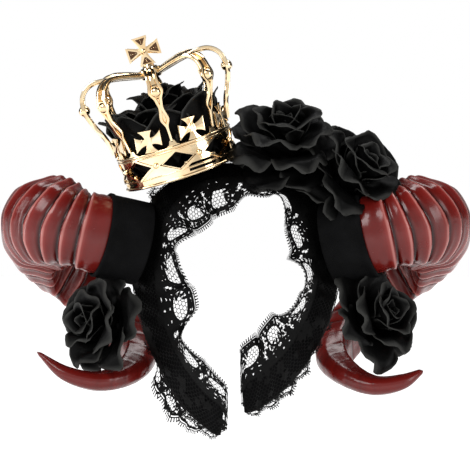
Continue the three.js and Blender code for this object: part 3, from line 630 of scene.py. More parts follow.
def circlet_wall(bm):
    """A quarter of the wall, flat, with two diamonds and a pair of slots, wrapped round and repeated."""
    bay = CIRCLET["outer"] * 2 * math.pi / ARCHES
    bmesh.ops.create_grid(bm, x_segments=44, y_segments=8, size=0.5)
    bmesh.ops.scale(bm, vec=(bay * 2, CIRCLET["height"], 1), verts=bm.verts)
    bmesh.ops.translate(bm, vec=(0, CIRCLET["height"] / 2, 0), verts=bm.verts)
    half_wide = DIAMOND["wide"] / 2
    slope = Vector((DIAMOND["tall"] / 2, half_wide)).normalized()
    for centre in (-bay / 2, bay / 2):
        for sx in (-1, 1):
            for sy in (-1, 1):
                way = Vector((slope.x * sx, slope.y * sy, 0))
                for grow in (0, DIAMOND["frame"]):
                    score(bm, Vector((centre + half_wide * sx, DIAMOND["height"], 0)) + way * grow, way)
    for at in (SLOT["low"], SLOT["high"]):
        for side in (-1, 1):
            score(bm, (0, at + side * SLOT["tall"] / 2, 0), (0, 1, 0))
    for side in (-1, 1):
        score(bm, (side * SLOT["half"], 0, 0), (1, 0, 0))

    def in_diamond(at, grow):
        for centre in (-bay / 2, bay / 2):
            off = abs(at.x - centre) * slope.x + abs(at.y - DIAMOND["height"]) * slope.y
            if off < half_wide * slope.x + grow:
                return True
        return False

    def in_slot(at):
        level = any(abs(at.y - z) < SLOT["tall"] / 2 for z in (SLOT["low"], SLOT["high"]))
        return level and abs(at.x) < SLOT["half"]

    holes, frames = [], []
    for face in bm.faces:
        at = face.calc_center_median()
        if in_slot(at) or in_diamond(at, 0):
            holes.append(face)
        elif in_diamond(at, DIAMOND["frame"]):
            frames.append(face)
    bmesh.ops.delete(bm, geom=holes, context="FACES")
    frames = [f for f in frames if f.is_valid]
    made = bmesh.ops.extrude_face_region(bm, geom=frames)["geom"]
    bmesh.ops.delete(bm, geom=[f for f in frames if f.is_valid], context="FACES_ONLY")
    raised = [g for g in made if isinstance(g, bmesh.types.BMVert)]
    bmesh.ops.translate(bm, vec=(0, 0, DIAMOND["raised"]), verts=raised)
    bmesh.ops.solidify(bm, geom=bm.faces[:], thickness=CIRCLET["outer"] - CIRCLET["inner"])
    for vert in bm.verts:
        angle = vert.co.x / CIRCLET["outer"]
        radius = CIRCLET["outer"] + vert.co.z
        vert.co = Vector((radius * math.sin(angle), -radius * math.cos(angle), vert.co.y))
    copy_round(bm, 4, offset=360 / ARCHES / 2)
    close_up(bm, 0.02)


def ring_bead(bm, radius, height, thick, tall):
    """A half-round moulding: a profile spun all the way round."""
    profile = []
    for k in range(11):
        angle = lerp(-90, 90, k / 10)
        at = (0, -(radius + thick * math.cos(rad(angle))), height + tall / 2 * math.sin(rad(angle)))
        profile.append(bm.verts.new(at))
    profile.append(bm.verts.new((0, -(radius - 0.6), height)))
    edges = [bm.edges.new((profile[i], profile[(i + 1) % len(profile)])) for i in range(len(profile))]
    bmesh.ops.spin(bm, geom=profile + edges, cent=(0, 0, 0), axis=(0, 0, 1), angle=2 * math.pi, steps=144,
                   use_merge=True)


def cross_outline(wide, tall, waist, flare, bow):
    """Corners of a cross whose arms widen outwards along bowed sides."""
    steps = 6
    outwards = [(-1, 1 - k / steps) for k in range(steps, 0, -1)]
    inwards = [(1, 1 - k / steps) for k in range(steps + 1)]
    points = []
    for arm in range(4):
        reach = (wide if arm % 2 == 0 else tall) / 2
        turn = Matrix.Rotation(rad(90 * arm), 2)
        for side, share in outwards + inwards:
            far = lerp(waist, reach, share)
            off = lerp(waist, flare, share ** bow)
            points.append(turn @ Vector((far, side * off)))
    return points


def plate(bm, points, thick, edge=0.35):
    """A flat shape in the X-Z plane with a thickness along Y and softened edges."""
    start = len(bm.verts)
    verts = [bm.verts.new((p.x, -thick / 2, p.y)) for p in points]
    face = bm.faces.new(verts)
    made = bmesh.ops.extrude_face_region(bm, geom=[face])["geom"]
    top = [g for g in made if isinstance(g, bmesh.types.BMVert)]
    bmesh.ops.translate(bm, vec=(0, thick, 0), verts=top)
    bm.verts.ensure_lookup_table()
    own = set(bm.verts[start:])
    rim = [e for e in bm.edges if e.verts[0] in own and e.calc_face_angle(0) > rad(60)
           and abs(e.verts[0].co.y - e.verts[1].co.y) < 1e-4]
    bmesh.ops.bevel(bm, geom=rim, offset=edge, segments=2, profile=0.5, material=-1, affect="EDGES")


def make_circlet():
    bm = bmesh.new()
    circlet_wall(bm)
    high, outer = CIRCLET["height"], CIRCLET["outer"]
    for down, thick, tall in TOP_MOULDINGS:
        ring_bead(bm, outer, high - down, thick, tall)
    for up, thick, tall in LOW_MOULDINGS:
        ring_bead(bm, outer, up, thick, tall)
    parts = bmesh.new()
    c = RIM_CROSS
    plate(parts, cross_outline(c["wide"], c["tall"], c["waist"], c["flare"], c["bow"]), c["thick"])
    seam = bmesh.ops.create_cone(parts, cap_ends=True, segments=8, radius1=c["seam"], radius2=c["seam"],
                                 depth=c["tall"] - 1)
    bmesh.ops.translate(parts, vec=(0, -c["thick"] / 2, 0), verts=seam["verts"])
    centre = high + c["tall"] / 2 - 0.8
    bmesh.ops.translate(parts, vec=(0, -(outer - 0.6), centre), verts=parts.verts)
    bead = bmesh.ops.create_uvsphere(parts, u_segments=20, v_segments=12, radius=RIM_BEAD["radius"])
    bmesh.ops.translate(parts, vec=(0, -(outer + 0.3), RIM_BEAD["height"]), verts=bead["verts"])
    copy_round(parts, ARCHES, offset=360 / ARCHES / 2)
    peaks = bmesh.new()
    half, tall, tip = RIM_PEAK["half"], RIM_PEAK["tall"], RIM_PEAK["tip"]
    corners = ((-half, 0), (half, 0), (half * 0.45, tall * 0.35), (tip, tall), (-tip, tall),
               (-half * 0.45, tall * 0.35))
    plate(peaks, [Vector(corner) for corner in corners], RIM_PEAK["thick"], 0.25)
    bmesh.ops.translate(peaks, vec=(0, -(outer - 0.9), high - 0.6), verts=peaks.verts)
    copy_round(peaks, ARCHES)
    join(bm, parts)
    join(bm, peaks)
    bmesh.ops.recalc_face_normals(bm, faces=bm.faces)
    bmesh.ops.transform(bm, matrix=CROWN, verts=bm.verts)
    piece("crown_circlet_gold", bm, CROWN_GOLD, ["crown_circlet"], crisp=32)


def join(bm, other):
    """Adds a bmesh to another one."""
    mesh = bpy.data.meshes.new("part")
    other.to_mesh(mesh)
    other.free()
    bm.from_mesh(mesh)
    bpy.data.meshes.remove(mesh)


def arch_half(t):
    """Half the distance between an arch's two rails, at a share of its way up."""
    return between([(-at, half) for at, half in ARCH_HALF], -t)


def make_arches():
    bm = bmesh.new()
    path = Curve([(row[2], row[0], row[1]) for row in ARCH_ROWS])

    def spot(u):
        """The arch's middle line at a share of its way up, and the way out of it there."""
        along = path.along(u)
        return path.at(u), Vector((0, along.z, -along.y)).normalized()

    for side in (-1, 1):
        def rail(u, v, side=side):
            at, out = spot(u)
            angle = v * 2 * math.pi
            half = lerp(ARCH_RAIL["thin"], ARCH_RAIL["thick"], smooth(u, 0.08, 0.16))
            across = squared(math.cos(angle), ARCH_RAIL["squareness"]) * half
            deep = squared(math.sin(angle), ARCH_RAIL["squareness"]) * ARCH_RAIL["deep"]
            middle = Vector((side * arch_half(u), at.y, at.z)) + Vector((across, 0, 0)) + out * deep
            return Vector((middle.x, -middle.y, middle.z))
        bent_grid(bm, 64, 12, rail)

    def web(u, v):
        u = lerp(0.02, 0.99, u)
        at, out = spot(u)
        angle = v * 2 * math.pi
        flat = squared(math.cos(angle), ARCH_WEB["squareness"]) * arch_half(u)
        middle = Vector((flat, at.y, at.z)) + out * (ARCH_WEB["thick"] * math.sin(angle) - ARCH_WEB["sunk"])
        return Vector((middle.x, -middle.y, middle.z))
    bent_grid(bm, 64, 8, web)
    boss = bmesh.new()
    bmesh.ops.create_uvsphere(boss, u_segments=24, v_segments=14, radius=ARCH_BEAD["radius"])
    seat = bmesh.ops.create_cone(boss, cap_ends=True, segments=28, radius1=ARCH_BEAD["seat_back"],
                                 radius2=ARCH_BEAD["seat_front"], depth=ARCH_BEAD["seat_deep"])["verts"]
    bmesh.ops.rotate(boss, cent=(0, 0, 0), matrix=Matrix.Rotation(rad(90), 3, "X"), verts=seat)
    bmesh.ops.translate(boss, vec=(0, -ARCH_BEAD["seat_out"], 0), verts=seat)
    radius, height, _ = ARCH_ROWS[ARCH_BEAD["row"]]
    bmesh.ops.translate(boss, vec=(0, -radius, height), verts=boss.verts)
    join(bm, boss)
    copy_round(bm, ARCHES)
    hub = bmesh.new()
    for low, high, under, over in HUB_STEPS:
        step = bmesh.ops.create_cone(hub, cap_ends=True, segments=48, radius1=under, radius2=over,
                                     depth=high - low)["verts"]
        bmesh.ops.translate(hub, vec=(0, 0, (low + high) / 2), verts=step)
    join(bm, hub)
    close_up(bm, 0.005)
    bmesh.ops.transform(bm, matrix=CROWN, verts=bm.verts)
    piece("crown_arches_gold", bm, CROWN_GOLD, ["crown_arches"], crisp=38)


def arm_outline(reach, flare, row):
    """Corners of a panel on a top-cross arm, narrow by the middle of the cross and wide at the arm's end."""
    start, end_gap, side_gap = row
    root, half = CROSS_FRAME["root"], flare - side_gap
    corners = ((start, root), (start, -root), (reach - end_gap, -half), (reach - end_gap, half))
    return [Vector(corner) for corner in corners]


def arm_frame(reach, side):
    """A raised frame with a dark panel and a row of dots, on the arm that points to the viewer's right."""
    bm = bmesh.new()
    outer = arm_outline(reach, TOP_CROSS["flare"], CROSS_FRAME["outer"])
    inner = arm_outline(reach, TOP_CROSS["flare"], CROSS_FRAME["inner"])
    plate_ring(bm, outer, inner, CROSS_FRAME["raised"])
    panel = [bm.verts.new((p.x, side * CROSS_FRAME["panel"], p.y)) for p in inner]
    bm.faces.new(panel).material_index = 1
    last = CROSS_DOTS["count"] - 1
    for k in range(CROSS_DOTS["count"]):
        far = lerp(CROSS_DOTS["start"], reach - CROSS_DOTS["short"], k / last)
        dot = bmesh.ops.create_icosphere(bm, subdivisions=2, radius=CROSS_DOTS["radius"])["verts"]
        bmesh.ops.translate(bm, vec=(far, 0, 0), verts=dot)
    return bm


def make_top_cross():
    bm = bmesh.new()
    c = TOP_CROSS
    lift = HUB_TOP + 1.5 + c["tall"] / 2
    plate(bm, cross_outline(c["wide"], c["tall"], c["waist"], c["flare"], c["bow"]), c["thick"] - 1.0, 0.2)
    for side in (-1, 1):
        for arm in range(4):
            reach = (c["wide"] if arm % 2 == 0 else c["tall"]) / 2
            part = arm_frame(reach, side)
            turn = Matrix.Rotation(rad(-90 * arm), 3, "Y")
            bmesh.ops.rotate(part, cent=(0, 0, 0), matrix=turn, verts=part.verts)
            bmesh.ops.translate(part, vec=(0, side * (c["thick"] / 2 - 0.5), 0), verts=part.verts)
            join(bm, part)
    boss = bmesh.ops.create_uvsphere(bm, u_segments=20, v_segments=12, radius=2.1)["verts"]
    bmesh.ops.scale(bm, vec=(1, 0.9, 1), verts=boss)
    bmesh.ops.translate(bm, vec=(0, 0, lift), verts=bm.verts)
    foot = bmesh.ops.create_cone(bm, cap_ends=True, segments=40, radius1=4.6, radius2=3.4, depth=1.9)["verts"]
    bmesh.ops.translate(bm, vec=(0, 0, HUB_TOP + 1.25), verts=foot)
    bmesh.ops.recalc_face_normals(bm, faces=bm.faces)
    bmesh.ops.transform(bm, matrix=CROWN, verts=bm.verts)
    piece("crown_cross_gold", bm, (CROWN_GOLD, CROWN_RECESS), ["crown_cross"], crisp=32)


def plate_ring(bm, outer, inner, thick):
    """A raised frame between two outlines with the same number of corners."""
    loops = []
    for points, y in ((outer, 0), (outer, 1), (inner, 1), (inner, 0)):
        loops.append([bm.verts.new((p.x, (y - 0.5) * thick * 2, p.y)) for p in points])
    count = len(outer)
    for a, b in zip(loops, loops[1:] + loops[:1]):
        for i in range(count):
            bm.faces.new((a[i], a[(i + 1) % count], b[(i + 1) % count], b[i]))
    bmesh.ops.recalc_face_normals(bm, faces=bm.faces)


# Roses
def rim_sheen_at(u, v):
    """How far a spot is in the rolled edge of a petal, 0 to 1, which takes the painted sheen highlight."""
    return max(smooth(abs(u * 2 - 1), 0.84, 1.0), smooth(v, 0.88, 1.0)) * smooth(v, 0.3, 0.6)


def petal(bm, size, ring, turn, chance, area):
    _, root, rise, long, wide, open_low, open_high, roll = ring
    long *= size * chance.uniform(0.92, 1.06)
    wide *= size * chance.uniform(0.92, 1.08)
    open_low += chance.uniform(-3, 5)
    open_high += chance.uniform(-8, 10)
    twist = chance.uniform(-0.12, 0.12)
    rolls = (roll * chance.uniform(0.2, 1.7), roll * chance.uniform(0.2, 1.7))
    point_out = chance.uniform(0.04, 0.2)
    waves = [(chance.uniform(2, 5), chance.uniform(0, 6.28), chance.uniform(0.008, 0.022)) for _ in range(3)]
    fray = [chance.uniform(-0.014, 0.014) for _ in range(24)]
    steps = PETAL_STEPS
    rail = [(root * size, rise * size, rad(open_low))]
    for i in range(steps):
        part = (i + 0.5) / steps
        angle = rad(lerp(open_low, open_high, part ** 1.5))
        r, z, _ = rail[-1]
        rail.append((r + math.sin(angle) * long / steps, z + math.cos(angle) * long / steps, angle))

    def place(u, v):
        side = u * 2 - 1
        edge = abs(side)
        frayed = fray[int(u * 23)] if v > 0.95 else 0
        tip = 1 - 0.2 * edge ** 2 + point_out * ((1 - edge) ** 1.4 - 0.5) + frayed
        along = v * tip
        spot = min(max(along, 0), 0.9999) * steps
        i = int(spot)
        r0, z0, a0 = rail[i]
        r1, z1, a1 = rail[i + 1]
        r, z, angle = lerp(r0, r1, spot - i), lerp(z0, z1, spot - i), lerp(a0, a1, spot - i)
        half = wide / 2 * lerp(0.42, 1.0, smooth(along, 0, 0.55)) * (1 - 0.42 * smooth(along, 0.66, 1.08))
        bend = max(r, size * 0.2) * lerp(1.0, 1.5, smooth(rad(70) - angle, -1, 1) if angle < rad(70) else 0)
        across = side * half
        phi = across / bend
        out = bend * math.cos(phi) - bend
        sideways = bend * math.sin(phi)
        curl = rolls[0 if side < 0 else 1] * size * smooth(edge, 0.5, 1.0) ** 1.3 * smooth(along, 0.35, 0.95)
        lip = roll * 0.9 * size * smooth(along, 0.8, 1.0) ** 2
        ripple = sum(math.sin(f * (u * 2 + v * 3) + p) * a for f, p, a in waves) * size
        push = curl + lip + ripple
        radial = r + out + push * math.cos(angle)
        height = z - push * math.sin(angle)
        side_turn = turn + twist * v
        c, s = math.cos(side_turn), math.sin(side_turn)
        return Vector((radial * c - sideways * s, radial * s + sideways * c, height))

    # The painted sheen highlight on the petals' rolled edges
    rim = bm.verts.layers.float.get("rim") or bm.verts.layers.float.new("rim")
    bent_grid(bm, steps, steps, place, size=(wide, long), extra=(rim, rim_sheen_at))
    area.append(long * wide * PETAL_CUT_SHARE)


def rose_mesh(bm, size, seed, rings, spin):
    chance = random.Random(seed)
    area = []
    for ring in rings:
        count = ring[0]
        offset = chance.uniform(0, 360)
        for k in range(count):
            turn = rad(spin + offset + 360 * k / count + chance.uniform(-9, 9))
            petal(bm, size, ring, turn, chance, area)
    return sum(area)


def rose_heart(bm, size):
    """The tight bud in the middle: a strip of cloth wound round itself."""
    def coil(u, v):
        turn = u * 2.6 * 2 * math.pi
        radius = size * (0.035 + 0.085 * u) * (1 + 0.25 * v)
        high = size * (0.30 + v * lerp(0.50, 0.42, u) + 0.02 * math.sin(turn * 2))
        return Vector((radius * math.cos(turn), radius * math.sin(turn), high))
    bent_grid(bm, 90, 8, coil, size=(size * 1.5, size * 0.46))
    return size * size * 0.6


def give_cloth_thickness(obj):
    wall = obj.modifiers.new("cloth", "SOLIDIFY")
    wall.thickness = CLOTH_THICK * MM
    wall.offset = 0


def make_rose(name, at, size, axis, spin, seed):
    bm = bmesh.new()
    on_top = at[2] > BAND["widest"] / 2
    rings = PETAL_RINGS + [DROOPING_RING] if on_top else PETAL_RINGS
    area = rose_mesh(bm, size, seed, rings, spin) + rose_heart(bm, size)
    foot = bmesh.new()
    bmesh.ops.create_uvsphere(foot, u_segments=28, v_segments=14, radius=size * 0.3)
    bmesh.ops.scale(foot, vec=(1, 1, 0.85), verts=foot.verts)
    turn = UP.rotation_difference(Vector(axis).normalized()).to_matrix().to_4x4()
    for part in (bm, foot):
        bmesh.ops.transform(part, matrix=Matrix.Translation(at) @ turn, verts=part.verts)
    obj = piece(name + "_petals", bm, PETAL_CLOTH, [name])
    give_cloth_thickness(obj)
    piece(name + "_foot", foot, PETAL_CLOTH, [name])


def make_crown_rose():
    bm = bmesh.new()
    size = CROWN_ROSE["size"]
    area = rose_mesh(bm, size, 31, PETAL_RINGS[:4], 10) + rose_heart(bm, size)
    bmesh.ops.translate(bm, vec=(0, 0, CROWN_ROSE["heart"]), verts=bm.verts)
    cup = bmesh.new()
    area += rose_mesh(cup, size, 5, CROWN_ROSE_RINGS, 0)
    join(bm, cup)
    base = bmesh.new()
    foot = bmesh.ops.create_cone(base, cap_ends=True, segments=64, radius1=38.6, radius2=38.6,
                                 depth=3.4)["verts"]
    bmesh.ops.translate(base, vec=(0, 0, 2.6), verts=foot)
    stem = bmesh.ops.create_cone(base, cap_ends=True, segments=32, radius1=13, radius2=9, depth=26)["verts"]
    bmesh.ops.translate(base, vec=(0, 0, 15), verts=stem)
    for part in (bm, base):
        bmesh.ops.transform(part, matrix=CROWN, verts=part.verts)
    obj = piece("crown_rose_petals", bm, PETAL_CLOTH, ["crown_rose"])
    give_cloth_thickness(obj)
    piece("crown_rose_foot", base, PETAL_CLOTH, ["crown_rose"], crisp=40)


# Lace
def front_lace_point(u, v):
    """Lies on the band's outer face from its seam to the front edge, then runs free inwards in ruffles."""
    turn = lerp(BAND_ENDS[0] + LACE_OVERHANG["left"], BAND_ENDS[1] - LACE_OVERHANG["right"], u)
    normal = band_normal(turn)
    form = FRONT_RUFFLE
    ruffle = u * FRONT_SCALLOPS * 2 * math.pi
    full = 1 - LACE_OVERHANG["taper"] * (1 - smooth(min(u, 1 - u), 0, LACE_OVERHANG["along"]))
    if v <= FRONT_SEAM:
        share = v / FRONT_SEAM
        pucker = form["pucker"] * math.sin(math.pi * share) * (1 + math.sin(ruffle * 2.5 + share * 4))
        return band_point(turn, (1 - 2 * share) * full) + normal * (form["lift"] + pucker)
    out = (v - FRONT_SEAM) / (1 - FRONT_SEAM)
    edge = band_point(turn, -full) + normal * form["lift"]
    reach = between(FRONT_REACH, turn)
    forward = math.sqrt(max(form["reach"] ** 2 - reach ** 2, form["least"] ** 2))
    inward = Vector((-edge.x, 0, BAND["widest"] - edge.z)).normalized()
    wave = form["wave"] * (math.sin(ruffle) + 0.5 * math.sin(2 * ruffle))
    wave += form["ripple"] * math.sin(u * form["ripples"] * 2 * math.pi)
    bulge = math.sin(out * math.pi) * 2.0
    at = edge + inward * (reach * out + bulge * 0.3)
    along = (band_point(turn - 1, -1) - band_point(turn + 1, -1)).normalized()
    sway = along * form["sway"] * math.sin(ruffle) * out
    return at + Vector((0, -forward * out - bulge + wave * out, 0)) - sway


def rear_lace_point(ends, u, v, ruffles):
    """Starts on the band just inside its rear edge, and runs outwards and back in ruffles."""
    turn = lerp(ends[0], ends[1], u)
    normal = band_normal(turn)
    backward = (band_point(turn, 1) - band_point(turn, -1)).normalized()
    start = band_point(turn, 1) - backward * REAR_RUFFLE["tuck"]
    radial = Vector((start.x, 0, start.z - BAND["widest"])).normalized()
    wave = REAR_RUFFLE["wave"] * math.sin(u * ruffles * 2 * math.pi)
    wave += REAR_RUFFLE["ripple"] * math.sin(u * ruffles * 2.7 * 2 * math.pi + 1)
    return (start + radial * between(REAR_OUT, turn) * v * REAR_RUFFLE["out"] + normal * wave * v
            + Vector((0, between(REAR_BACK, turn) * v * REAR_RUFFLE["back"], 0)))


def edge_line(s, wide, pitch, deep):
    """Where the scalloped edge lies across the lace, at a distance along it."""
    return wide - LACE_MARGIN - deep * (1 - abs(math.sin(math.pi * s / pitch)) ** 0.55)


def lace_net(bm, length, wide, pitch, deep):
    """Six-sided net holes, cut off at the scalloped edge."""
    across = LACE_CELL
    row_step = LACE_CELL * math.sqrt(3) / 2
    radius = LACE_CELL / math.sqrt(3)
    rows = int(wide / row_step) + 1
    columns = int(length / across) + 1
    for j in range(rows):
        for i in range(columns):
            s = (i + 0.5 * (j % 2)) * across
            w = j * row_step
            if not LACE_END < s < length - LACE_END or w > edge_line(s, wide, pitch, deep) - 0.6:
                continue
            at = Matrix.Translation((s, w, 0))
            bmesh.ops.create_circle(bm, cap_ends=True, segments=6, radius=radius, matrix=at)
    bmesh.ops.remove_doubles(bm, verts=bm.verts, dist=0.02)
    cells = bm.faces[:]
    bmesh.ops.inset_individual(bm, faces=cells, thickness=LACE_STRAND / 2)
    bmesh.ops.delete(bm, geom=cells, context="FACES_ONLY")


def lace_strip(bm, line, half, steps, start, end, lift=0.0, step=0.05):
    """A narrow strip along line(s), half as wide on each side of it."""
    def place(u, v):
        s = lerp(start, end, u)
        a, b = Vector(line(s - step)), Vector(line(s + step))
        way = (b - a).normalized()
        side = Vector((-way.y, way.x))
        at = Vector(line(s)) + side * lerp(-half, half, v)
        return Vector((at.x, at.y, lift))
    bent_grid(bm, steps, 1, place)


def leaf(bm, s, w, long, wide, turn, lift=0.12):
    """A leaf or petal with its middle at (s, w) on the flat lace, turned by an angle."""
    def place(u, v):
        along = (u - 0.5) * long
        half = wide / 2 * math.sin(math.pi * min(max(u, 0.02), 0.98)) ** 0.8
        across = (v * 2 - 1) * half
        c, n = math.cos(turn), math.sin(turn)
        return Vector((s + along * c - across * n, w + along * n + across * c, lift))
    bent_grid(bm, 6, 2, place)


def lace_flower(bm, s, w, radius, turn):
    """Five petals, and five small ones over the gaps between them."""
    for shift, far, long, wide, lift in ((0, 0.58, 0.95, 0.72, 0.12), (0.5, 0.32, 0.55, 0.22, 0.2)):
        for k in range(5):
            way = turn + (k + shift) * 2 * math.pi / 5
            x, y = s + math.cos(way) * radius * far, w + math.sin(way) * radius * far
            leaf(bm, x, y, radius * long, radius * wide, way, lift)


def lace_window(bm, mid, low, a, b, chance):
    """The open bay of net in a scallop: a corded ring with leaves standing round it and a spray inside."""
    lean = chance.uniform(0, 2 * math.pi)

    def ring(t):
        swell = 1 + 0.15 * math.cos(4 * math.pi * t + lean)
        return (mid + a * swell * math.cos(t * 2 * math.pi), low + b * swell * math.sin(t * 2 * math.pi))
    lace_strip(bm, ring, b * 0.16, 40, 0, 1, 0.1, step=0.004)
    leaves = 12
    for k in range(leaves):
        t = (k + 0.5) / leaves
        way = t * 2 * math.pi
        x, y = ring(t)
        leaf(bm, x + b * 0.34 * math.cos(way), y + b * 0.3 * math.sin(way), b * 0.62, b * 0.42, way)
    start = chance.uniform(0.55, 0.95)
    for k in range(4):
        t = start + k * 0.08
        way = t * 2 * math.pi + math.pi + 0.5
        x, y = ring(t)
        leaf(bm, lerp(x, mid, 0.32), lerp(y, low, 0.32), b * 0.85, b * 0.3, way)


def lace_motifs(bm, length, wide, pitch, deep, seam, chance):
    """Flowers, leaves and cords that frame the open bays of net, one bay to a scallop."""
    free = wide - seam
    bay = seam + free * 0.50
    for k in range(round(length / pitch) + 1):
        mid, notch = (k + 0.5) * pitch, k * pitch
        if mid < length:
            size = chance.uniform(0.78, 1.12)
            lace_window(bm, mid, bay + free * 0.02, pitch * 0.29 * size, free * 0.26 * size, chance)
            for side in (-3, -1, 1, 3):
                lace_flower(bm, mid + side * pitch / 8, seam + free * 0.12, free * 0.16, chance.uniform(0, 6))
            for side in (-1, 1):
                x = mid + side * pitch * 0.36
                lace_flower(bm, x, seam + free * 0.3, free * 0.14, chance.uniform(0, 6))
            for _ in range(7 if seam else 0):
                at = (mid + chance.uniform(-0.5, 0.5) * pitch, chance.uniform(2.5, seam - 2))
                lace_flower(bm, *at, chance.uniform(2.6, 4.6), chance.uniform(0, 6))
        if 2 < notch < length - 2:
            low = wide - deep - LACE_MARGIN
            lace_flower(bm, notch, bay + free * 0.02, free * 0.15, chance.uniform(0, 6))
            for side in (-1, 1):
                for off, level, long, half, lean in ((0.12, low - free * 0.07, 0.30, 0.13, -28),
                                                     (0.16, bay - free * 0.2, 0.28, 0.12, 40)):
                    x, turn = notch + side * free * off, rad(90 + side * lean)
                    leaf(bm, x, level, free * long, free * half, turn)
            leaf(bm, notch, low - free * 0.05, free * 0.30, free * 0.16, rad(90))
    step = pitch / 9
    s = LACE_END + step / 2
    while s < length - LACE_END:
        edge = edge_line(s, wide, pitch, deep)
        rise = edge_line(s + 0.1, wide, pitch, deep) - edge_line(s - 0.1, wide, pitch, deep)
        leaf(bm, s, edge - free * 0.075, step * 1.02, free * 0.085, math.atan2(rise, 0.2))
        s += step
    for level, swing, half in ((0.02, 0, 0.7),
                               ((seam + free * 0.02) / wide, 0, free * 0.045),
                               ((seam + free * 0.13) / wide, 0.012, free * 0.045),
                               ((seam + free * 0.22) / wide, 0.03, free * 0.03)):
        def stem(s, level=level, swing=swing):
            return (s, wide * (level - swing * math.cos(2 * math.pi * s / pitch)))
        lace_strip(bm, stem, half, int(length / 1.6), LACE_END, length - LACE_END, 0.1)


def lace_border(bm, length, wide, pitch, deep):
    """Two cords along the scallops and one across each end, with short loops that stand out of them."""
    lift = BORDER["lift"]

    def inner(s):
        return (s, edge_line(s, wide, pitch, deep))

    def outer(s):
        return (s, edge_line(s, wide, pitch, deep) + BORDER["gap"])
    steps = int(length / 0.8)
    lace_strip(bm, inner, BORDER["inner"] + wide * 0.008, steps, LACE_END, length - LACE_END, lift)
    lace_strip(bm, outer, BORDER["outer"], steps, LACE_END, length - LACE_END, lift)
    for at, way in ((LACE_END, -1), (length - LACE_END, 1)):
        high = edge_line(at, wide, pitch, deep)

        def end(w, at=at):
            return (at, w)
        lace_strip(bm, end, BORDER["end"], 40, 0, high, lift)
        for k in range(int(high / LOOP["every"])):
            def loop(t, at=at, way=way, w=LOOP["every"] * (k + 0.5)):
                return (at + way * t, w)
            lace_strip(bm, loop, LOOP["half"], 2, 0, LACE_END - 0.2, lift)
    s = LACE_END
    while s < length - LACE_END:
        base = Vector(outer(s))
        ahead = Vector(outer(s + 0.1)) - Vector(outer(s - 0.1))
        way = Vector((-ahead.y, ahead.x)).normalized()

        def stroke(t, base=base, way=way):
            at = base + way * t
            return (at.x, at.y)
        lace_strip(bm, stroke, LOOP["half"], 2, -LOOP["half"], LOOP["long"], lift)
        s += LOOP["every"] / max(ahead.length / 0.2, 1)


def bend_lace(bm, length, wide, surface):
    """Lays the flat lace on the ruffle, keeping what stands above it."""
    layer = bm.loops.layers.uv.verify()
    for face in bm.faces:
        for loop in face.loops:
            loop[layer].uv = (loop.vert.co.x * MM, loop.vert.co.y * MM)
    for vert in bm.verts:
        u = min(max(vert.co.x / length, 0.0), 1.0)
        v = min(max(vert.co.y / wide, -0.02), 1.08)
        at = surface(u, max(v, 0))
        side = surface(min(u + 1e-3, 1), max(v, 0)) - surface(max(u - 1e-3, 0), max(v, 0))
        down = surface(u, min(max(v, 0) + 2e-2, 1.1)) - surface(u, max(v - 2e-2, 0))
        normal = side.cross(down).normalized()
        vert.co = at + normal * vert.co.z


def make_lace(name, surface, length, wide, scallops, deep, seam, seed):
    """One length of lace, cut flat and then gathered onto its ruffle.

    Its flat area is the thread's, without the holes.
    """
    bm = bmesh.new()
    pitch = length / scallops
    lace_net(bm, length, wide, pitch, deep)
    lace_motifs(bm, length, wide, pitch, deep, seam, random.Random(seed))
    lace_border(bm, length, wide, pitch, deep)
    area = min(sum(face.calc_area() for face in bm.faces), 0.98 * length * wide)
    bend_lace(bm, length, wide, surface)
    obj = piece(name + "_ruffle", bm, LACE_THREAD, [name])


def strip_length(surface, v, steps=1500):
    points = [surface(i / steps, v) for i in range(steps + 1)]
    return sum((b - a).length for a, b in zip(points, points[1:]))


# The scene: camera, floor and light
def look_at(obj, target):
    obj.rotation_euler = (Vector(target) - obj.location).to_track_quat("-Z", "Y").to_euler()


def area_light(name, at, size, power, colour=(1, 1, 1), target=(0, 0, -0.05)):
    data = bpy.data.lights.new(name, "AREA")
    data.shape = "RECTANGLE"
    data.size, data.size_y = size
    data.energy = power
    data.color = colour
    obj = bpy.data.objects.new(name, data)
    obj.location = at
    bpy.context.scene.collection.objects.link(obj)
    look_at(obj, target)


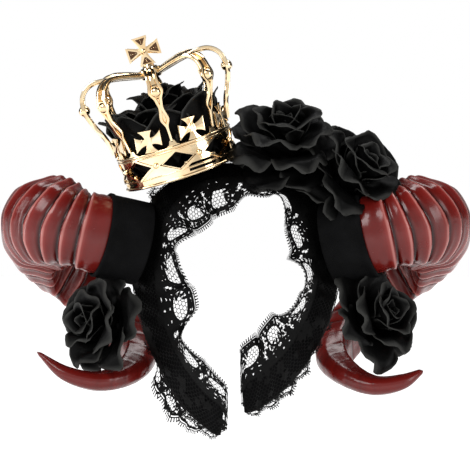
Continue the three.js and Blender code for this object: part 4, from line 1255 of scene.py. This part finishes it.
def make_studio():
    scene = bpy.context.scene
    data = bpy.data.cameras.new("camera")
    data.lens = CAMERA_LENS
    data.sensor_width = 36
    data.clip_start = 0.05
    camera = bpy.data.objects.new("camera", data)
    camera.location = CAMERA_AT
    camera.rotation_euler = (rad(90), 0, 0)
    scene.collection.objects.link(camera)
    scene.camera = camera
    scene.view_settings.view_transform = "Standard"

    mat, nodes, links, shader = material("floor_white", (0.8, 0.8, 0.8), 0.9)
    place = nodes.new("ShaderNodeTexCoord")
    distance = nodes.new("ShaderNodeVectorMath")
    distance.operation = "LENGTH"
    links.new(place.outputs["Object"], distance.inputs[0])
    glow = ramp(nodes, links, distance.outputs["Value"], [(0.3, grey(0.45)), (0.9, grey(1.0))])
    links.new(glow, shader.inputs["Emission Color"])
    shader.inputs["Emission Strength"].default_value = 1.0
    bm = bmesh.new()
    bmesh.ops.create_circle(bm, cap_ends=True, segments=96, radius=12)
    bmesh.ops.translate(bm, vec=(0, 0, -0.32), verts=bm.verts)
    mesh = bpy.data.meshes.new("floor")
    bm.to_mesh(mesh)
    bm.free()
    mesh.materials.append(mat)
    floor = bpy.data.objects.new("floor", mesh)
    scene.collection.objects.link(floor)

    world = bpy.data.worlds.new("studio")
    scene.world = world
    world.use_nodes = True
    nodes, links = world.node_tree.nodes, world.node_tree.links
    sky = nodes["Background"]
    place = nodes.new("ShaderNodeTexCoord")
    split = nodes.new("ShaderNodeSeparateXYZ")
    links.new(place.outputs["Generated"], split.inputs["Vector"])
    height = nodes.new("ShaderNodeMapRange")
    height.inputs["From Min"].default_value = -1
    links.new(split.outputs["Z"], height.inputs["Value"])
    facing = nodes.new("ShaderNodeMapRange")
    facing.inputs["From Min"].default_value = -1
    links.new(split.outputs["Y"], facing.inputs["Value"])
    front = ramp(nodes, links, facing.outputs["Result"],
                 [(0.0, grey(0.9)), (0.2, grey(0.75)), (0.36, grey(0.10)), (0.75, grey(0.05)),
                  (0.95, grey(0.3))])
    level = ramp(nodes, links, height.outputs["Result"],
                 [(0.0, grey(0.3)), (0.3, grey(0.4)), (0.42, grey(1.0)), (0.8, grey(1.0)), (0.9, grey(0.25))])
    blend = nodes.new("ShaderNodeMix")
    blend.data_type = "RGBA"
    blend.blend_type = "MULTIPLY"
    blend.inputs["Factor"].default_value = 1.0
    links.new(front, blend.inputs["A"])
    links.new(level, blend.inputs["B"])
    path = nodes.new("ShaderNodeLightPath")
    mix = nodes.new("ShaderNodeMix")
    mix.data_type = "RGBA"
    links.new(path.outputs["Is Camera Ray"], mix.inputs["Factor"])
    links.new(blend.outputs["Result"], mix.inputs["A"])
    mix.inputs["B"].default_value = (1, 1, 1, 1)
    links.new(mix.outputs["Result"], sky.inputs["Color"])
    sky.inputs["Strength"].default_value = 1.0
    area_light("key", (-0.9, -1.1, 1.0), (0.7, 0.9), 16)
    area_light("fill", (1.3, -0.9, 0.35), (0.5, 1.0), 8)
    area_light("top", (0.1, 0.4, 1.3), (1.2, 0.5), 12)
    area_light("strip_left", (-1.1, -0.1, 0.1), (0.12, 1.2), 5)


make_studio()
band_mesh = bmesh.new()
band_mesh.from_mesh(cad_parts["headband"].data)
band_tree = BVHTree.FromBMesh(band_mesh)
band_mesh.free()
make_headband()
make_horn("horn_left_vinyl", HORN_ROWS, False, "horn_left")
make_horn("horn_right_vinyl", HORN_ROWS[:-3] + HORN_RIGHT_END, True, "horn_right")
make_sleeve("sleeve_left_cloth", False, "sleeve_left", band_tree)
make_sleeve("sleeve_right_cloth", True, "sleeve_right", band_tree)
make_circlet()
make_arches()
make_top_cross()
make_crown_rose()
for seed, row in enumerate(ROSES):
    make_rose(*row, seed=40 + seed)

for name, ends, wide, scallops in REAR_LACE:
    def rear(u, v, ends=ends, scallops=scallops):
        return rear_lace_point(ends, u, v, scallops)
    make_lace(name, rear, strip_length(rear, 0.7), wide, scallops, REAR_SCALLOP_DEEP, 0, 3)

make_lace("lace_front", front_lace_point, strip_length(front_lace_point, 0.75), FRONT_LACE_WIDE,
          FRONT_SCALLOPS, FRONT_SCALLOP_DEEP, BAND_SEAM_WIDE, 4)
